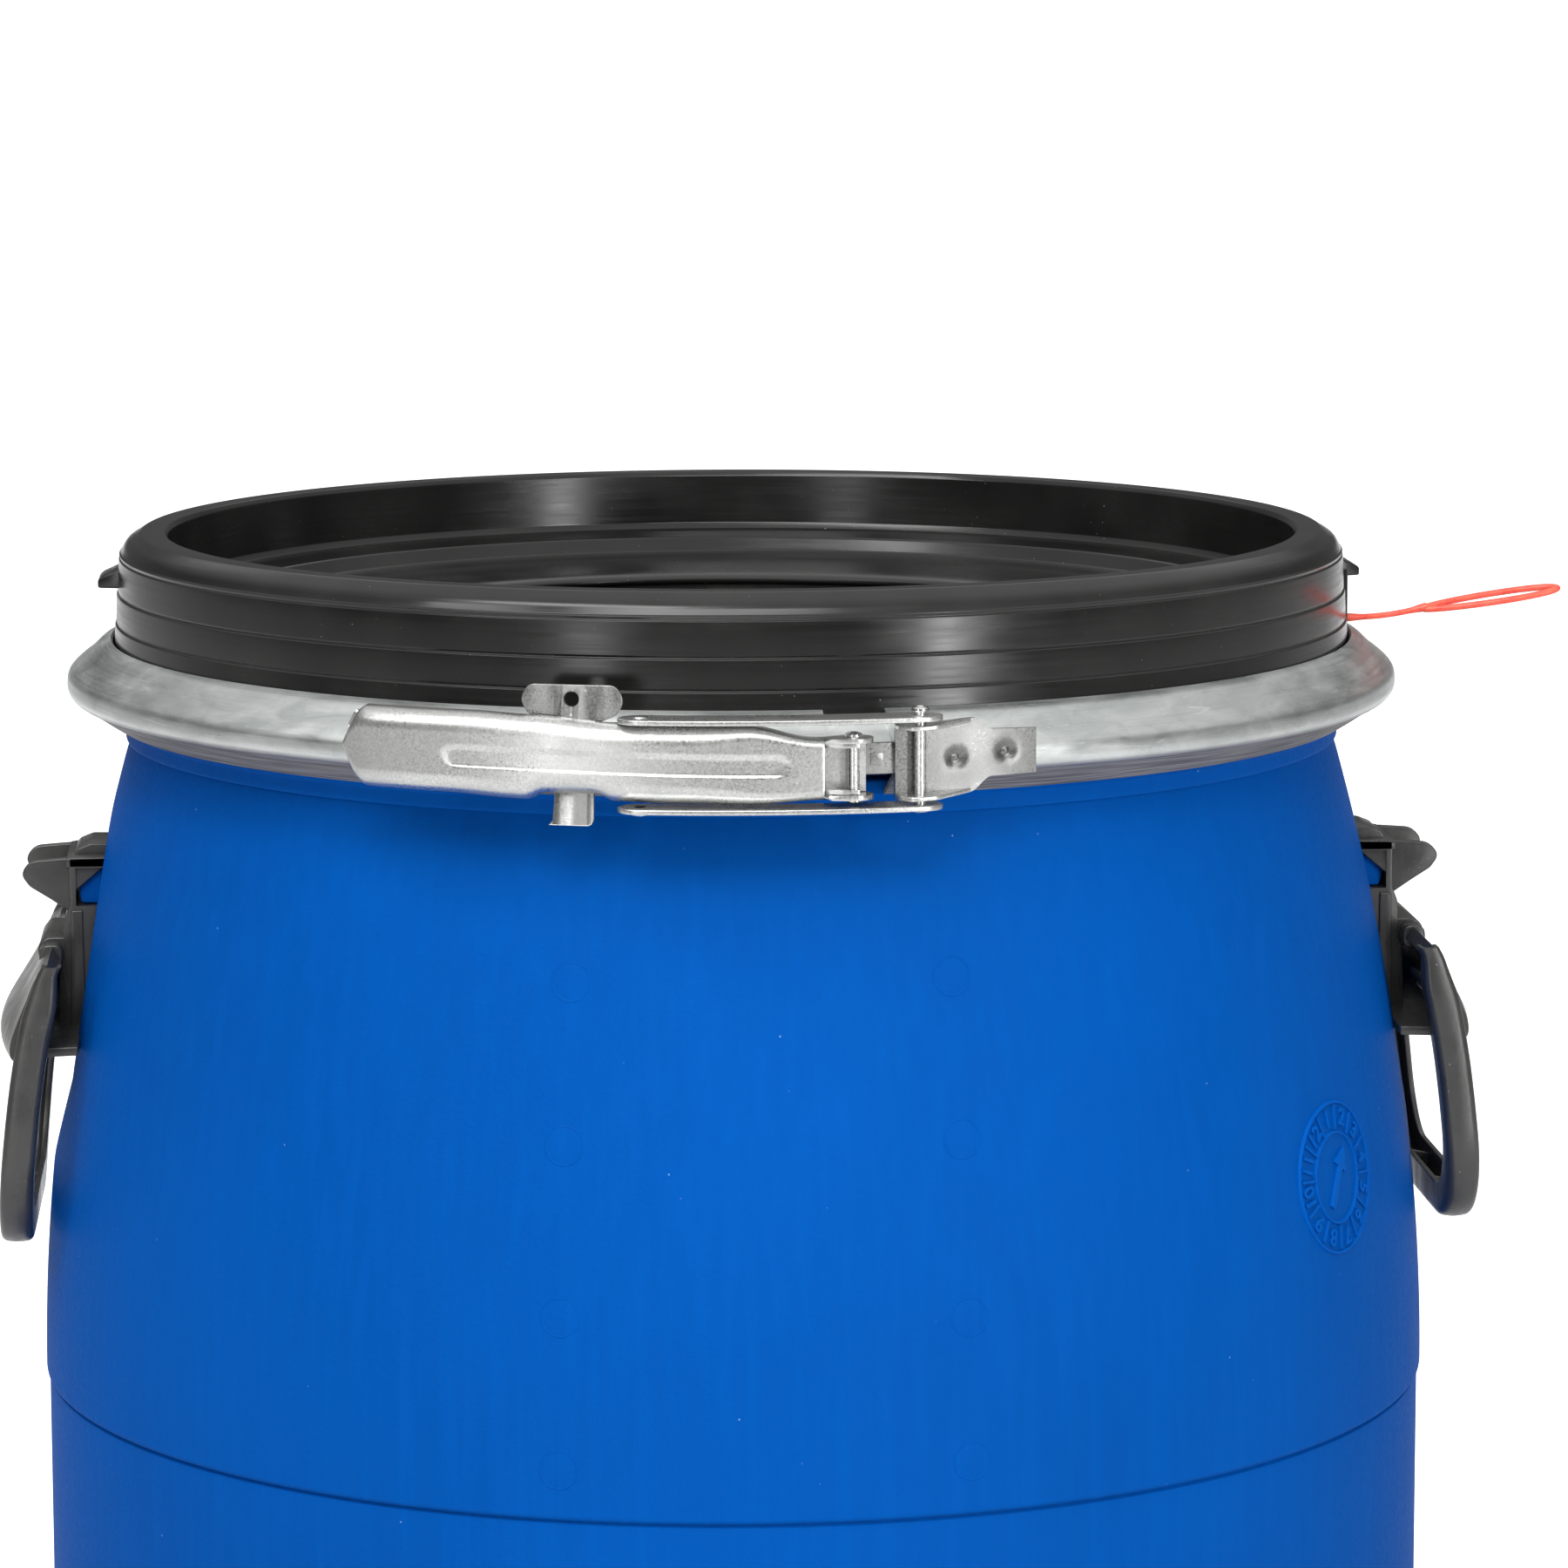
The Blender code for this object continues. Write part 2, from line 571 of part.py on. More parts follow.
def handle_grip(name, look):
    """The loop that is lifted: a frame with a sloping cap over its hinge and a cross rib under the bracket."""
    x, z = HINGE
    lean = math.tan(math.radians(GRIP_TILT))
    thick = GRIP_THICK

    def plate(part, outline, x_low, x_high):
        rings = []
        for side in (x_low, x_high):
            rings.append([Vector((x + side + (z - up) * lean, y, up)) for y, up in outline])
        return lofted(part, rings, look)

    made = plate(name, rounded_frame(GRIP_HALF, GRIP_BOTTOM, GRIP_TOP, 24.0), 1.9 - thick / 2.0, 1.9 + thick / 2.0)
    opening = rounded_frame(GRIP_HALF - 10.0, GRIP_BOTTOM + 13.0, 479.0, 16.0)
    cut(made, plate("opening", opening, -30.0, 30.0))
    cap = [(x + 1.0, GRIP_TOP - 1.0), (x + 5.0, 499.7), (x + 11.9, 487.0), (x + 13.3, 480.0),
           (x + 11.5, 475.6), (x + 6.0, 476.6), (x + 2.0, 492.0)]
    join(made, along_y("cap", cap, -38.0, 38.0, look))
    rib = [(192.4, 476.6), (199.7, 476.6), (199.7, 479.6), (192.4, 479.6)]
    join(made, along_y("rib", rib, -44.0, 44.0, look))
    bevelled = [(150.0, 517.2), (196.6, 517.2), (209.2, 485.7), (230.0, 485.7), (230.0, 535.0), (150.0, 535.0)]
    cut(made, along_y("slope", bevelled, -38.0, 38.0, look))
    room = [(x - 20.0, z - KNUCKLE_R - 1.2), (x + 20.0, z - KNUCKLE_R - 1.2), (x + 20.0, 520.0), (x - 20.0, 520.0)]
    cut(made, along_y("room", room, -BRACKET_HALF - 0.6, BRACKET_HALF + 0.6, look))
    cut(made, clear_of_body(look))
    return join(made, disc("axle", (x, z), AXLE_R, -22.0, 22.0, look))


def handles(look):
    """Both handles: the pair on +X, and a copy of it turned half way round on -X."""
    for side, word in ((1, "right"), (-1, "left")):
        hinge = bpy.data.objects.new(f"handle_{word}_hinge", None)
        hinge.location = (side * HINGE[0] * MM, 0.0, HINGE[1] * MM)
        bpy.context.scene.collection.objects.link(hinge)
        turn = Matrix.Rotation(0.0 if side == 1 else math.pi, 4, "Z")
        for made in (handle_bracket(f"handle_bracket_{word}", look), handle_grip(f"handle_grip_{word}", look)):
            made.data.transform(turn)
        made.data.transform(Matrix.Translation(-hinge.location))
        made.parent = hinge


# ---------------------------------------------------------------- tamper seal

def seal_path():
    """The closed middle line of the loop, from the split round the tip and back, seen from above."""
    split, tip = SEAL_SPLIT, SEAL_TIP
    points = []
    steps = 20
    for i in range(steps + 1):
        t = i / steps
        along = 0.5 - 0.5 * math.cos(2.0 * math.pi * t)
        across = SEAL_HALF_WIDTH * math.sin(2.0 * math.pi * t) * (0.5 + 0.5 * along)
        radius = split[0] + (tip[0] - split[0]) * along
        height = split[1] + (tip[1] - split[1]) * along
        points.append((radius, across, height))
    return points[:-1]


def seal_ring(radius, across, height, towards, size):
    """A round section at a point of the seal. towards is the direction of the strand there."""
    a = math.radians(SEAL_AT)
    outward = Vector((math.sin(a), -math.cos(a), 0.0))
    right = Vector((math.cos(a), math.sin(a), 0.0))
    centre = outward * radius + right * across + Vector((0.0, 0.0, height))
    along = (outward * towards[0] + right * towards[1] + Vector((0.0, 0.0, towards[2]))).normalized()
    side = along.cross(Vector((0.0, 0.0, 1.0))).normalized()
    up = side.cross(along)
    return [centre + (side * math.cos(t) + up * math.sin(t)) * size
            for t in (math.radians(45.0 * k) for k in range(8))]


def tamper_seal(look):
    """A moulded stem that is held above the ring's lip, and ends in a loop."""
    path = seal_path()
    count = len(path)
    rings = []
    for i, point in enumerate(path):
        ahead, behind = path[(i + 1) % count], path[i - 1]
        if i == 0:
            towards = (0.0, 1.0, 0.0)
        else:
            towards = tuple(ahead[k] - behind[k] for k in range(3))
        rings.append(seal_ring(*point, towards, SEAL_R))
    made = lofted("tamper_seal", rings, look, closed=True)
    start, split = SEAL_START, SEAL_SPLIT
    towards = (split[0] - start[0], 0.0, split[1] - start[1])
    stem = [
        seal_ring(start[0], 0.0, start[1], towards, SEAL_R * 0.8),
        seal_ring(split[0] + 0.6, 0.0, split[1], towards, SEAL_R * 1.05),
    ]
    return join(made, lofted("stem", stem, look))


# ---------------------------------------------------------------- the whole drum

def build():
    for old in list(bpy.data.objects):
        bpy.data.objects.remove(old)
    blue = material("blue_plastic", (0.0, 0.075, 0.38), 0.42)
    black = material("lid_plastic", (0.012, 0.012, 0.013), 0.22)
    foam = material("gasket_rubber", (0.05, 0.05, 0.05), 0.85)
    zinc = material("galvanised_steel", (0.60, 0.62, 0.61), 0.32, 1.0)
    bright = material("bright_zinc", (0.66, 0.68, 0.68), 0.25, 1.0)
    grip = material("handle_plastic", (0.02, 0.021, 0.022), 0.45)
    red = material("seal_plastic", (0.80, 0.09, 0.05), 0.35)
    drum_body(blue)
    lid(black)
    lid_gasket(foam)
    clamp_ring(zinc, bright)
    handles(grip)
    tamper_seal(red)


build()
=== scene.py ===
"""An open-head plastic drum: blue body, black lid, clamp ring with a lever closure, and two drop handles.

Lengths are in millimetres and angles in degrees until a mesh is made. An azimuth of 0 faces the closure.
"""

import json
import math

import bmesh
import bpy
from mathutils import Matrix, Vector


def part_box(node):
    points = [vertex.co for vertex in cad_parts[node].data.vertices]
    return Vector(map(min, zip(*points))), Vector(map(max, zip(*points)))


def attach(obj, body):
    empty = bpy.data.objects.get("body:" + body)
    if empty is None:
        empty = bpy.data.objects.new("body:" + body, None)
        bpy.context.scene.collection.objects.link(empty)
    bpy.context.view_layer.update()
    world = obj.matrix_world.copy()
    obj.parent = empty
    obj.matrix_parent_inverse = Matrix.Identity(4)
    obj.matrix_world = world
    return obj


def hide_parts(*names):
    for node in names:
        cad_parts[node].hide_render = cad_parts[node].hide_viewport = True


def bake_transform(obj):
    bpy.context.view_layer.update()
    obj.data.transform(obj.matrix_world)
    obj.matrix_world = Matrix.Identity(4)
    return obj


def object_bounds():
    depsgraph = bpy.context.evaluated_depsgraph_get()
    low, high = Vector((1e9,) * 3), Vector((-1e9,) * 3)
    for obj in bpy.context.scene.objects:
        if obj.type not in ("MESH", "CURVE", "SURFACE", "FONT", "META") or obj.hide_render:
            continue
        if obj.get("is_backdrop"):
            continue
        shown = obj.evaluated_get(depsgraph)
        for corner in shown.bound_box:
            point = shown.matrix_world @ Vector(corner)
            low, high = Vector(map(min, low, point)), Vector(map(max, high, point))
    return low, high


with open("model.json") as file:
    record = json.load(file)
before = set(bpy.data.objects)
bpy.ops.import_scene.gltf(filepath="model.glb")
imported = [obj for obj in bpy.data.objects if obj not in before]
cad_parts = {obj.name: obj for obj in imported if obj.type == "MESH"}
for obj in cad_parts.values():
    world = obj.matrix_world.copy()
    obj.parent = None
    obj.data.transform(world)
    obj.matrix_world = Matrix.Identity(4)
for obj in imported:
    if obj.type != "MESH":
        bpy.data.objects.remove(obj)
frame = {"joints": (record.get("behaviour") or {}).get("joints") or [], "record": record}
CAD_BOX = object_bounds()

MM = 0.001
JOINTS = {joint["name"]: Vector(joint["pos_m"]) / MM for joint in frame["joints"] if "pos_m" in joint}
MOUNTS = {mount["name"]: Vector(mount["pos_m"]) / MM for mount in frame["record"]["mounts"]}
STEPS = 288                    # steps round the drum
SHARP = 38.0                   # edges that turn by more than this stay crisp

# body
PARTING_Z = 380.4
BASE_R = 195.2
LOWER_R = 199.4
BELLY_R = 200.3
NECK_R = 174.3
SHOULDER_Z = (381.0, 558.6)
SHOULDER_POWER = 1.9
WALL = 3.0
FLOOR_Z = 6.5
MOUTH_R = 171.3
MOUTH_Z = 613.2
FACET_Z = 464.8                # where each handle's flat facet starts to lean in with the shoulder
FACET_X = 190.8
FACET_LEAN = 0.155
FACET_FLARE = 0.27
FACET_EDGE = 0.5
VENT_MARKS = ((-17.0, (520.7, 478.7, 434.0, 393.7)), (14.5, (521.1, 479.2, 432.7, 394.6)))
DIAL_AT = (54.4, 451.8)
DIAL_RIMS = (20.6, 12.4)
DIAL_RISE = 0.75
NUMERAL_SIZE = 6.6

# lid
LID_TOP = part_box("lid")[1].z / MM
LID_WALL_R = 175.4
PANEL_Z = MOUNTS["lid_panel"].z

# clamp ring and closure; places across it are azimuths
SHEET = 1.2
RING_SECTION = [
    (178.2, 592.0), (181.3, 590.5), (184.4, 587.6), (188.0, 584.8), (190.2, 582.4), (190.7, 579.9),
    (190.5, 577.8), (189.4, 576.2), (187.0, 574.9), (184.0, 573.0), (181.0, 571.0), (178.0, 569.2),
]
RING_GAP = (3.9, 9.2)
TONGUE_AT = 7.6
TONGUE_HALF = 12.0
STRIP_SPAN = (-6.0, 11.6)
BAND_FACE_R = 190.95           # plates that lie against the band start here
PIN_CIRCLE = 194.6
LEVER_PIN_AT = 5.6
ANCHOR_PIN_AT = 10.8
LINK_PIN_AT = -10.7
TONGUE_Z = (576.5, 584.8)
EAR_Z = (571.0, 587.0)
EAR_R = 5.1
ANCHOR_Z = (570.0, 589.6)
LINK_Z = (568.4, 591.6)
LINK_WIDTH = 11.8
LINK_HALF_THICK = 0.68
PIN_R = 1.5
LATCH_AT = -16.15
TAB_Z = (592.4, 600.2)
TAB_WIDTH = 27.8
TAB_HOLE_R = 2.05
FLARE_Z = 568.5                # the catch flares out below this
HOOK_AT = (-4.45, 6.05)
HOOK_Z = 563.8
LEVER_END_AT = -35.0
LEVER_FACE_END = 3.2
LEVER_NOSE_R = 12.4
LEVER_R = (192.8, 198.8)
LEVER_FLANGE = 4               # steps across the lever's side walls, its rounded edges and its face
LEVER_CORNER = 8
LEVER_CELLS = 46
GROOVE_AT = (-25.6, 0.3)
GROOVE_DEPTH = 0.38

# handles
HINGE_X = JOINTS["grip_right_raise"].x
HINGE_Z = JOINTS["grip_right_raise"].z
BRACKET_HALF = 16.6
BRACKET_OUT_R = 194.5
BRACKET_Z = (475.8, 530.2)
GRIP_HALF = 60.0
GRIP_TOP = 505.6
GRIP_BOTTOM = 423.0
GRIP_THICK = 9.2
GRIP_WIDTH = 9.6
GRIP_CORNER = 24.0
GRIP_LINE = [(508.0, 192.0), (503.0, 194.4), (490.8, 198.5), (476.0, 201.4), (461.8, 203.4), (445.0, 205.1),
             (430.0, 206.0), (418.0, 206.2)]
BARREL_R = 4.0
AXLE_R = 2.6
AXLE_HALF = 23.0
HUB_END = 24.0
WING_AT = (-15.6, 12.6)
WING_THICK = 3.0
FOOT_RIB_AT = 19.0
INNER_SHELF_HALF = 50.5
CAP_REACH = 55.0
CAP_SWELL = 4.9

# tamper seal, as (out from the drum's axis, up)
SEAL_AT = 86.8
SEAL_START = (177.6, 594.0)
SEAL_SPLIT = (200.0, 597.0)
SEAL_TIP = (238.6, 602.8)
SEAL_LOOP_HALF = 4.3
SEAL_LOOP_LIFT = 0.9
SEAL_LOOP_R = 0.95
SEAL_STEM_SAG = 0.8

# looks, in metres
UNROLL_R = 0.19
RIBBED_LIP_Z = (0.5775, 0.5755)

# camera
CAMERA_AZIMUTH = -3.7
CAMERA_DISTANCE = 1760.6
CAMERA_HEIGHT = 805.0
CAMERA_TILT = 8.35
CAMERA_YAW = 0.49
CAMERA_ROLL = 0.12
CAMERA_LENS = 141.0

# studio; a soft box has an azimuth from the camera's, a distance, a height, the height it aims at, a width, a
# length and a power in watts
SOFT_BOXES = {
    "left_soft_box": (-25.0, 2600.0, 1250.0, 1250.0, 400.0, 2400.0, 9.0),
    "top_soft_box": (-40.0, 1500.0, 3000.0, 600.0, 1600.0, 600.0, 24.0),
    "high_soft_box": (-54.0, 2200.0, 2300.0, 600.0, 800.0, 600.0, 8.0),
    "right_soft_box": (38.0, 2600.0, 1250.0, 1250.0, 220.0, 2400.0, 32.0),
    "key_soft_box": (-6.0, 1700.0, 2000.0, 480.0, 1500.0, 700.0, 25.0),
    "rim_soft_box": (180.0, 2500.0, 2300.0, 500.0, 3000.0, 900.0, 3.0),
}
WORLD_SPAN = (0.3, 0.95)       # the world brightens between these slopes, from its low to its high strength
WORLD_LOW = 0.12
WORLD_HIGH = 1.0
FLOOR_HALF = 60000.0
FLOOR_GLOW = 0.9
GLOW_FROM = (-0.12, -1.76)     # the glow fans out from here, in metres, about this slope, as wide as these
GLOW_SLOPE = 0.073
GLOW_SIDES = (0.16, 0.5)
GLOW_DEPTH = (2.3, 2.95)


# ---------------------------------------------------------------- places and lines

def polar(r, azimuth, z):
    a = math.radians(azimuth)
    return Vector((r * math.sin(a), -r * math.cos(a), z))


def around(azimuth):
    """A map from (across, up, out) beside an azimuth to the drum's space, bent round its axis."""
    def place(across, up, out):
        return polar(out, azimuth + math.degrees(across / out), up)
    return place


def beside(azimuth):
    """A map from (across, out, up) around a pin's axis to the drum's space, without bending."""
    a = math.radians(azimuth)

    def place(across, out, up):
        return polar(PIN_CIRCLE + out, azimuth, up) + Vector((math.cos(a), math.sin(a), 0.0)) * across
    return place


def to_side(side):
    """A map from (out, up, along) to the drum's right side, or to its left side where side is -1."""
    def place(out, up, along):
        return Vector((out * side, along * side, up))
    return place


def flat(u, v, w):
    return Vector((u, v, w))


def turned_about(place, angle, rise=0.0, out=0.0):
    """A map turned about its own middle, after a rise along v and a step out."""
    c, s = math.cos(math.radians(angle)), math.sin(math.radians(angle))

    def moved(u, v, w):
        v += rise
        return place(u * c - v * s, u * s + v * c, w + out)
    return moved


def arc(centre, radius, first, last, steps):
    turns = [math.radians(first + (last - first) * i / steps) for i in range(steps + 1)]
    return [(centre[0] + radius * math.cos(t), centre[1] + radius * math.sin(t)) for t in turns]


def ease(low, high, value):
    t = min(1.0, max(0.0, (value - low) / (high - low)))
    return t * t * (3.0 - 2.0 * t)


def spread(low, high, gap):
    """Evenly spaced places between two ends."""
    count = max(2, round((high - low) / gap))
    return [low + (high - low) * i / count for i in range(1, count)]


def rounded(corners, turn=15.0):
    """A closed outline from (u, v, radius) corners, each softened by an arc of that radius."""
    points = []
    for i, (u, v, radius) in enumerate(corners):
        here = Vector((u, v))
        back = Vector(corners[i - 1][:2]) - here
        ahead = Vector(corners[(i + 1) % len(corners)][:2]) - here
        if radius <= 0.0:
            points.append((u, v))
            continue
        inside = back.angle(ahead)
        reach = min(radius / math.tan(inside / 2.0), 0.48 * back.length, 0.48 * ahead.length)
        start = here + back.normalized() * reach
        end = here + ahead.normalized() * reach
        steps = max(2, round((180.0 - math.degrees(inside)) / turn))
        for k in range(steps + 1):
            t = k / steps
            points.append(tuple(start * (1.0 - t) ** 2 + here * 2.0 * t * (1.0 - t) + end * t * t))
    return points


def between(points, i, t):
    """The value a share t of the way from the i-th point to the next, on a smooth curve through them all."""
    a, b, c, d = (points[min(max(i + k, 0), len(points) - 1)] for k in (-1, 0, 1, 2))
    bend = (b * 3.0 - a - c * 3.0 + d) * t ** 3 + (a * 2.0 - b * 5.0 + c * 4.0 - d) * t ** 2
    return b + (bend + (c - a) * t) * 0.5


def smooth_line(points, steps):
    """A smooth line through 2-D points, with so many steps between each pair."""
    points = [Vector(point) for point in points]
    line = [tuple(between(points, i, k / steps)) for i in range(len(points) - 1) for k in range(steps)]
    return line + [tuple(points[-1])]


def offset_line(line, distance):
    """A 2-D line moved to its left by a distance."""
    moved = []
    for i, point in enumerate(line):
        along = Vector(line[min(i + 1, len(line) - 1)]) - Vector(line[max(i - 1, 0)])
        along.normalize()
        moved.append((point[0] - along.y * distance, point[1] + along.x * distance))
    return moved


def follow(points, at):
    """The value at a place on a line through (place, value) points."""
    for (before, low), (after, high) in zip(points, points[1:]):
        if at <= after:
            return low + (high - low) * ease(before, after, max(at, before))
    return points[-1][1]


# ---------------------------------------------------------------- meshes

def link(name, data):
    made = bpy.data.objects.new(name, data)
    bpy.context.scene.collection.objects.link(made)
    return made


def from_mesh(name, shape, look, sharp=SHARP):
    """An object from a bmesh in millimetres."""
    bmesh.ops.recalc_face_normals(shape, faces=shape.faces)
    for vertex in shape.verts:
        vertex.co *= MM
    mesh = bpy.data.meshes.new(name)
    shape.to_mesh(mesh)
    shape.free()
    mesh.shade_smooth()
    mesh.set_sharp_from_angle(angle=math.radians(sharp))
    mesh.materials.append(look)
    return link(name, mesh)


def lace(shape, rows, loop=False, ring=False):
    """Joins rows of vertices with quads. loop joins the last row to the first, ring the ends of each row."""
    wide = len(rows[0])
    for i in range(len(rows) if loop else len(rows) - 1):
        here, ahead = rows[i], rows[(i + 1) % len(rows)]
        for j in range(wide if ring else wide - 1):
            k = (j + 1) % wide
            shape.faces.new((here[j], here[k], ahead[k], ahead[j]))


def skin(shape, rows, loop=False, ring=False):
    rows = [[shape.verts.new(point) for point in row] for row in rows]
    lace(shape, rows, loop, ring)
    return rows


def capped(name, rows, look, sharp=SHARP):
    """A closed tube through rings of points, with flat ends."""
    shape = bmesh.new()
    made = skin(shape, rows, ring=True)
    shape.faces.new(made[0][::-1])
    shape.faces.new(made[-1])
    return from_mesh(name, shape, look, sharp)


def wrapped(name, rows, look, sharp=SHARP, ring=True):
    """A surface through rows of points that come back round to the first."""
    shape = bmesh.new()
    skin(shape, rows, loop=True, ring=ring)
    bmesh.ops.remove_doubles(shape, verts=shape.verts, dist=0.001)
    bmesh.ops.dissolve_degenerate(shape, edges=shape.edges, dist=0.0001)
    return from_mesh(name, shape, look, sharp)


def circled(place, outline, steps):
    """The rows of an outline of (radius, height) carried round a map's own axis."""
    rows = []
    for i in range(steps):
        t = math.tau * i / steps
        rows.append([place(r * math.cos(t), r * math.sin(t), height) for r, height in outline])
    return rows


def turned(name, outline, look, steps=STEPS, sharp=SHARP):
    """An outline of (radius, height) turned all the way round the drum's axis."""
    azimuths = [360.0 * i / steps for i in range(steps)]
    return wrapped(name, [[polar(r, azimuth, z) for r, z in outline] for azimuth in azimuths], look, sharp)


def swept(name, outline, look, steps, first, last, sharp):
    """An outline of (radius, height) swept about the drum's axis from one azimuth to another."""
    azimuths = [first + (last - first) * i / steps for i in range(steps + 1)]
    return capped(name, [[polar(r, azimuth, z) for r, z in outline] for azimuth in azimuths], look, sharp)


def plate(name, outline, low, high, place, look, soften=0.3, slices=()):
    """A prism over an outline of (u, v) from low to high: soft edges, slices across u, mapped by place."""
    shape = bmesh.new()
    lower = [shape.verts.new((u, v, low)) for u, v in outline]
    upper = [shape.verts.new((u, v, high)) for u, v in outline]
    shape.faces.new(lower[::-1])
    shape.faces.new(upper)
    lace(shape, [lower, upper], ring=True)
    bmesh.ops.recalc_face_normals(shape, faces=shape.faces)
    if soften > 0.0:
        edges = [edge for edge in shape.edges if edge.calc_face_angle(0.0) > math.radians(32.0)]
        bmesh.ops.bevel(shape, geom=edges, offset=soften, segments=3, profile=0.5, affect="EDGES",
                        clamp_overlap=True)
    for u in slices:
        everything = shape.verts[:] + shape.edges[:] + shape.faces[:]
        bmesh.ops.bisect_plane(shape, geom=everything, dist=0.0001, plane_co=(u, 0.0, 0.0),
                               plane_no=(1.0, 0.0, 0.0))
    for vertex in shape.verts:
        vertex.co = place(*vertex.co)
    return from_mesh(name, shape, look)


def evaluated(made):
    """The mesh of an object with its modifiers or its curve's thickness."""
    bpy.context.view_layer.update()
    return bpy.data.meshes.new_from_object(made.evaluated_get(bpy.context.evaluated_depsgraph_get()))


def settle(made):
    """Turns an object's modifiers into its mesh."""
    mesh = evaluated(made)
    made.modifiers.clear()
    made.data = mesh


def cut(made, tool):
    """Cuts a tool's shape out of an object."""
    change = made.modifiers.new("cut", "BOOLEAN")
    change.operation = "DIFFERENCE"
    change.solver = "EXACT"
    change.object = tool
    settle(made)
    made.data.set_sharp_from_angle(angle=math.radians(SHARP))
    bpy.data.objects.remove(tool)


def joined(name, parts):
    """Several shells kept in one mesh, each with its own material."""
    looks = []
    shape = bmesh.new()
    for part in parts:
        look = part.data.materials[0]
        if look not in looks:
            looks.append(look)
        known = len(shape.faces)
        shape.from_mesh(part.data)
        shape.faces.ensure_lookup_table()
        for face in shape.faces[known:]:
            face.material_index = looks.index(look)
        bpy.data.objects.remove(part)
    mesh = bpy.data.meshes.new(name)
    shape.to_mesh(mesh)
    shape.free()
    for look in looks:
        mesh.materials.append(look)
    return link(name, mesh)


def stand_in(made, body, slot, *nodes):
    """Lets a piece ride on a body, in place of CAD nodes. Its slot argument is not used."""
    if body:
        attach(made, body)
    if nodes:
        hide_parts(*nodes)


# ---------------------------------------------------------------- materials

class Look:
    """A material's nodes, added one by one. Patterns follow the object's own space, in metres."""

    def __init__(self, name, **sockets):
        self.material = bpy.data.materials.new(name)
        self.material.use_nodes = True
        self.nodes = self.material.node_tree.nodes
        self.links = self.material.node_tree.links
        self.shader = self.nodes["Principled BSDF"]
        for socket, value in sockets.items():
            self.shader.inputs[socket.replace("_", " ")].default_value = value
        self.place = self.nodes.new("ShaderNodeTexCoord").outputs["Object"]

    def feed(self, socket, value):
        """Links a node's output to a socket, or sets a plain value on it."""
        if isinstance(value, bpy.types.NodeSocket):
            self.links.new(value, socket)
        else:
            socket.default_value = value

    def add(self, kind, sockets=None, **settings):
        node = self.nodes.new(kind)
        for name, value in settings.items():
            setattr(node, name, value)
        for name, value in (sockets or {}).items():
            self.feed(node.inputs[name], value)
        return node

    def math(self, operation, first, second=0.0, third=0.0):
        return self.add("ShaderNodeMath", {0: first, 1: second, 2: third}, operation=operation).outputs[0]

    def apart(self, place):
        return self.add("ShaderNodeSeparateXYZ", {0: place}).outputs

    def scaled(self, scale, source=None):
        return self.add("ShaderNodeMapping", {"Vector": source or self.place, "Scale": scale}).outputs[0]

    def rolled_out(self):
        """The surface unrolled from the drum's axis: metres round it, metres out from it and metres up."""
        x, y, z = self.apart(self.place)
        length = self.math("MULTIPLY", self.math("ARCTAN2", x, self.math("MULTIPLY", y, -1.0)), UNROLL_R)
        out = self.math("SQRT", self.math("MULTIPLY_ADD", y, y, self.math("MULTIPLY", x, x)))
        return self.add("ShaderNodeCombineXYZ", {0: length, 1: out, 2: z}).outputs[0]

    def noise(self, scale, detail=3.0, roughness=0.5, source=None, distortion=0.0):
        sockets = {"Vector": source or self.place, "Scale": scale, "Detail": detail, "Roughness": roughness,
                   "Distortion": distortion}
        return self.add("ShaderNodeTexNoise", sockets).outputs["Fac"]

    def drawn(self, scale, detail, roughness=0.5, source=None, distortion=0.0):
        """Noise stretched by its own scale along each axis."""
        return self.noise(1.0, detail, roughness, self.scaled(scale, source), distortion)

    def cells(self, scale, source=None):
        """A cell pattern's distance from each cell's middle, and a random tone for each cell."""
        outputs = self.add("ShaderNodeTexVoronoi", {"Vector": source or self.place, "Scale": scale}).outputs
        return outputs["Distance"], self.add("ShaderNodeSeparateColor", {0: outputs["Color"]}).outputs[0]

    def span(self, value, low, high, new_low=0.0, new_high=1.0):
        sockets = {"Value": value, "From Min": low, "From Max": high, "To Min": new_low, "To Max": new_high}
        return self.add("ShaderNodeMapRange", sockets, clamp=True).outputs[0]

    def mix(self, factor, first, second):
        node = self.add("ShaderNodeMix", {0: factor, 6: first, 7: second}, data_type="RGBA")
        return node.outputs[2]

    def specks(self, scale, size, share):
        """Small round dots on a share of the cells."""
        distance, tone = self.cells(scale)
        chosen = self.math("LESS_THAN", tone, share)
        return self.math("MULTIPLY", self.span(distance, size, size * 0.6), chosen)

    def colour(self, value):
        self.feed(self.shader.inputs["Base Color"], value)

    def rough(self, value):
        self.feed(self.shader.inputs["Roughness"], value)

    def bump(self, height, distance, strength=1.0):
        """Adds one layer of bump over those before it. distance is in millimetres."""
        node = self.add("ShaderNodeBump", {"Height": height, "Distance": distance * MM, "Strength": strength})
        normal = self.shader.inputs["Normal"]
        if normal.links:
            self.links.new(normal.links[0].from_socket, node.inputs["Normal"])
        self.links.new(node.outputs[0], normal)


def rgb(red, green, blue):
    return (red, green, blue, 1.0)


def grey(level):
    """A very slightly warm grey."""
    return (level, level * 1.005, level * 0.985, 1.0)


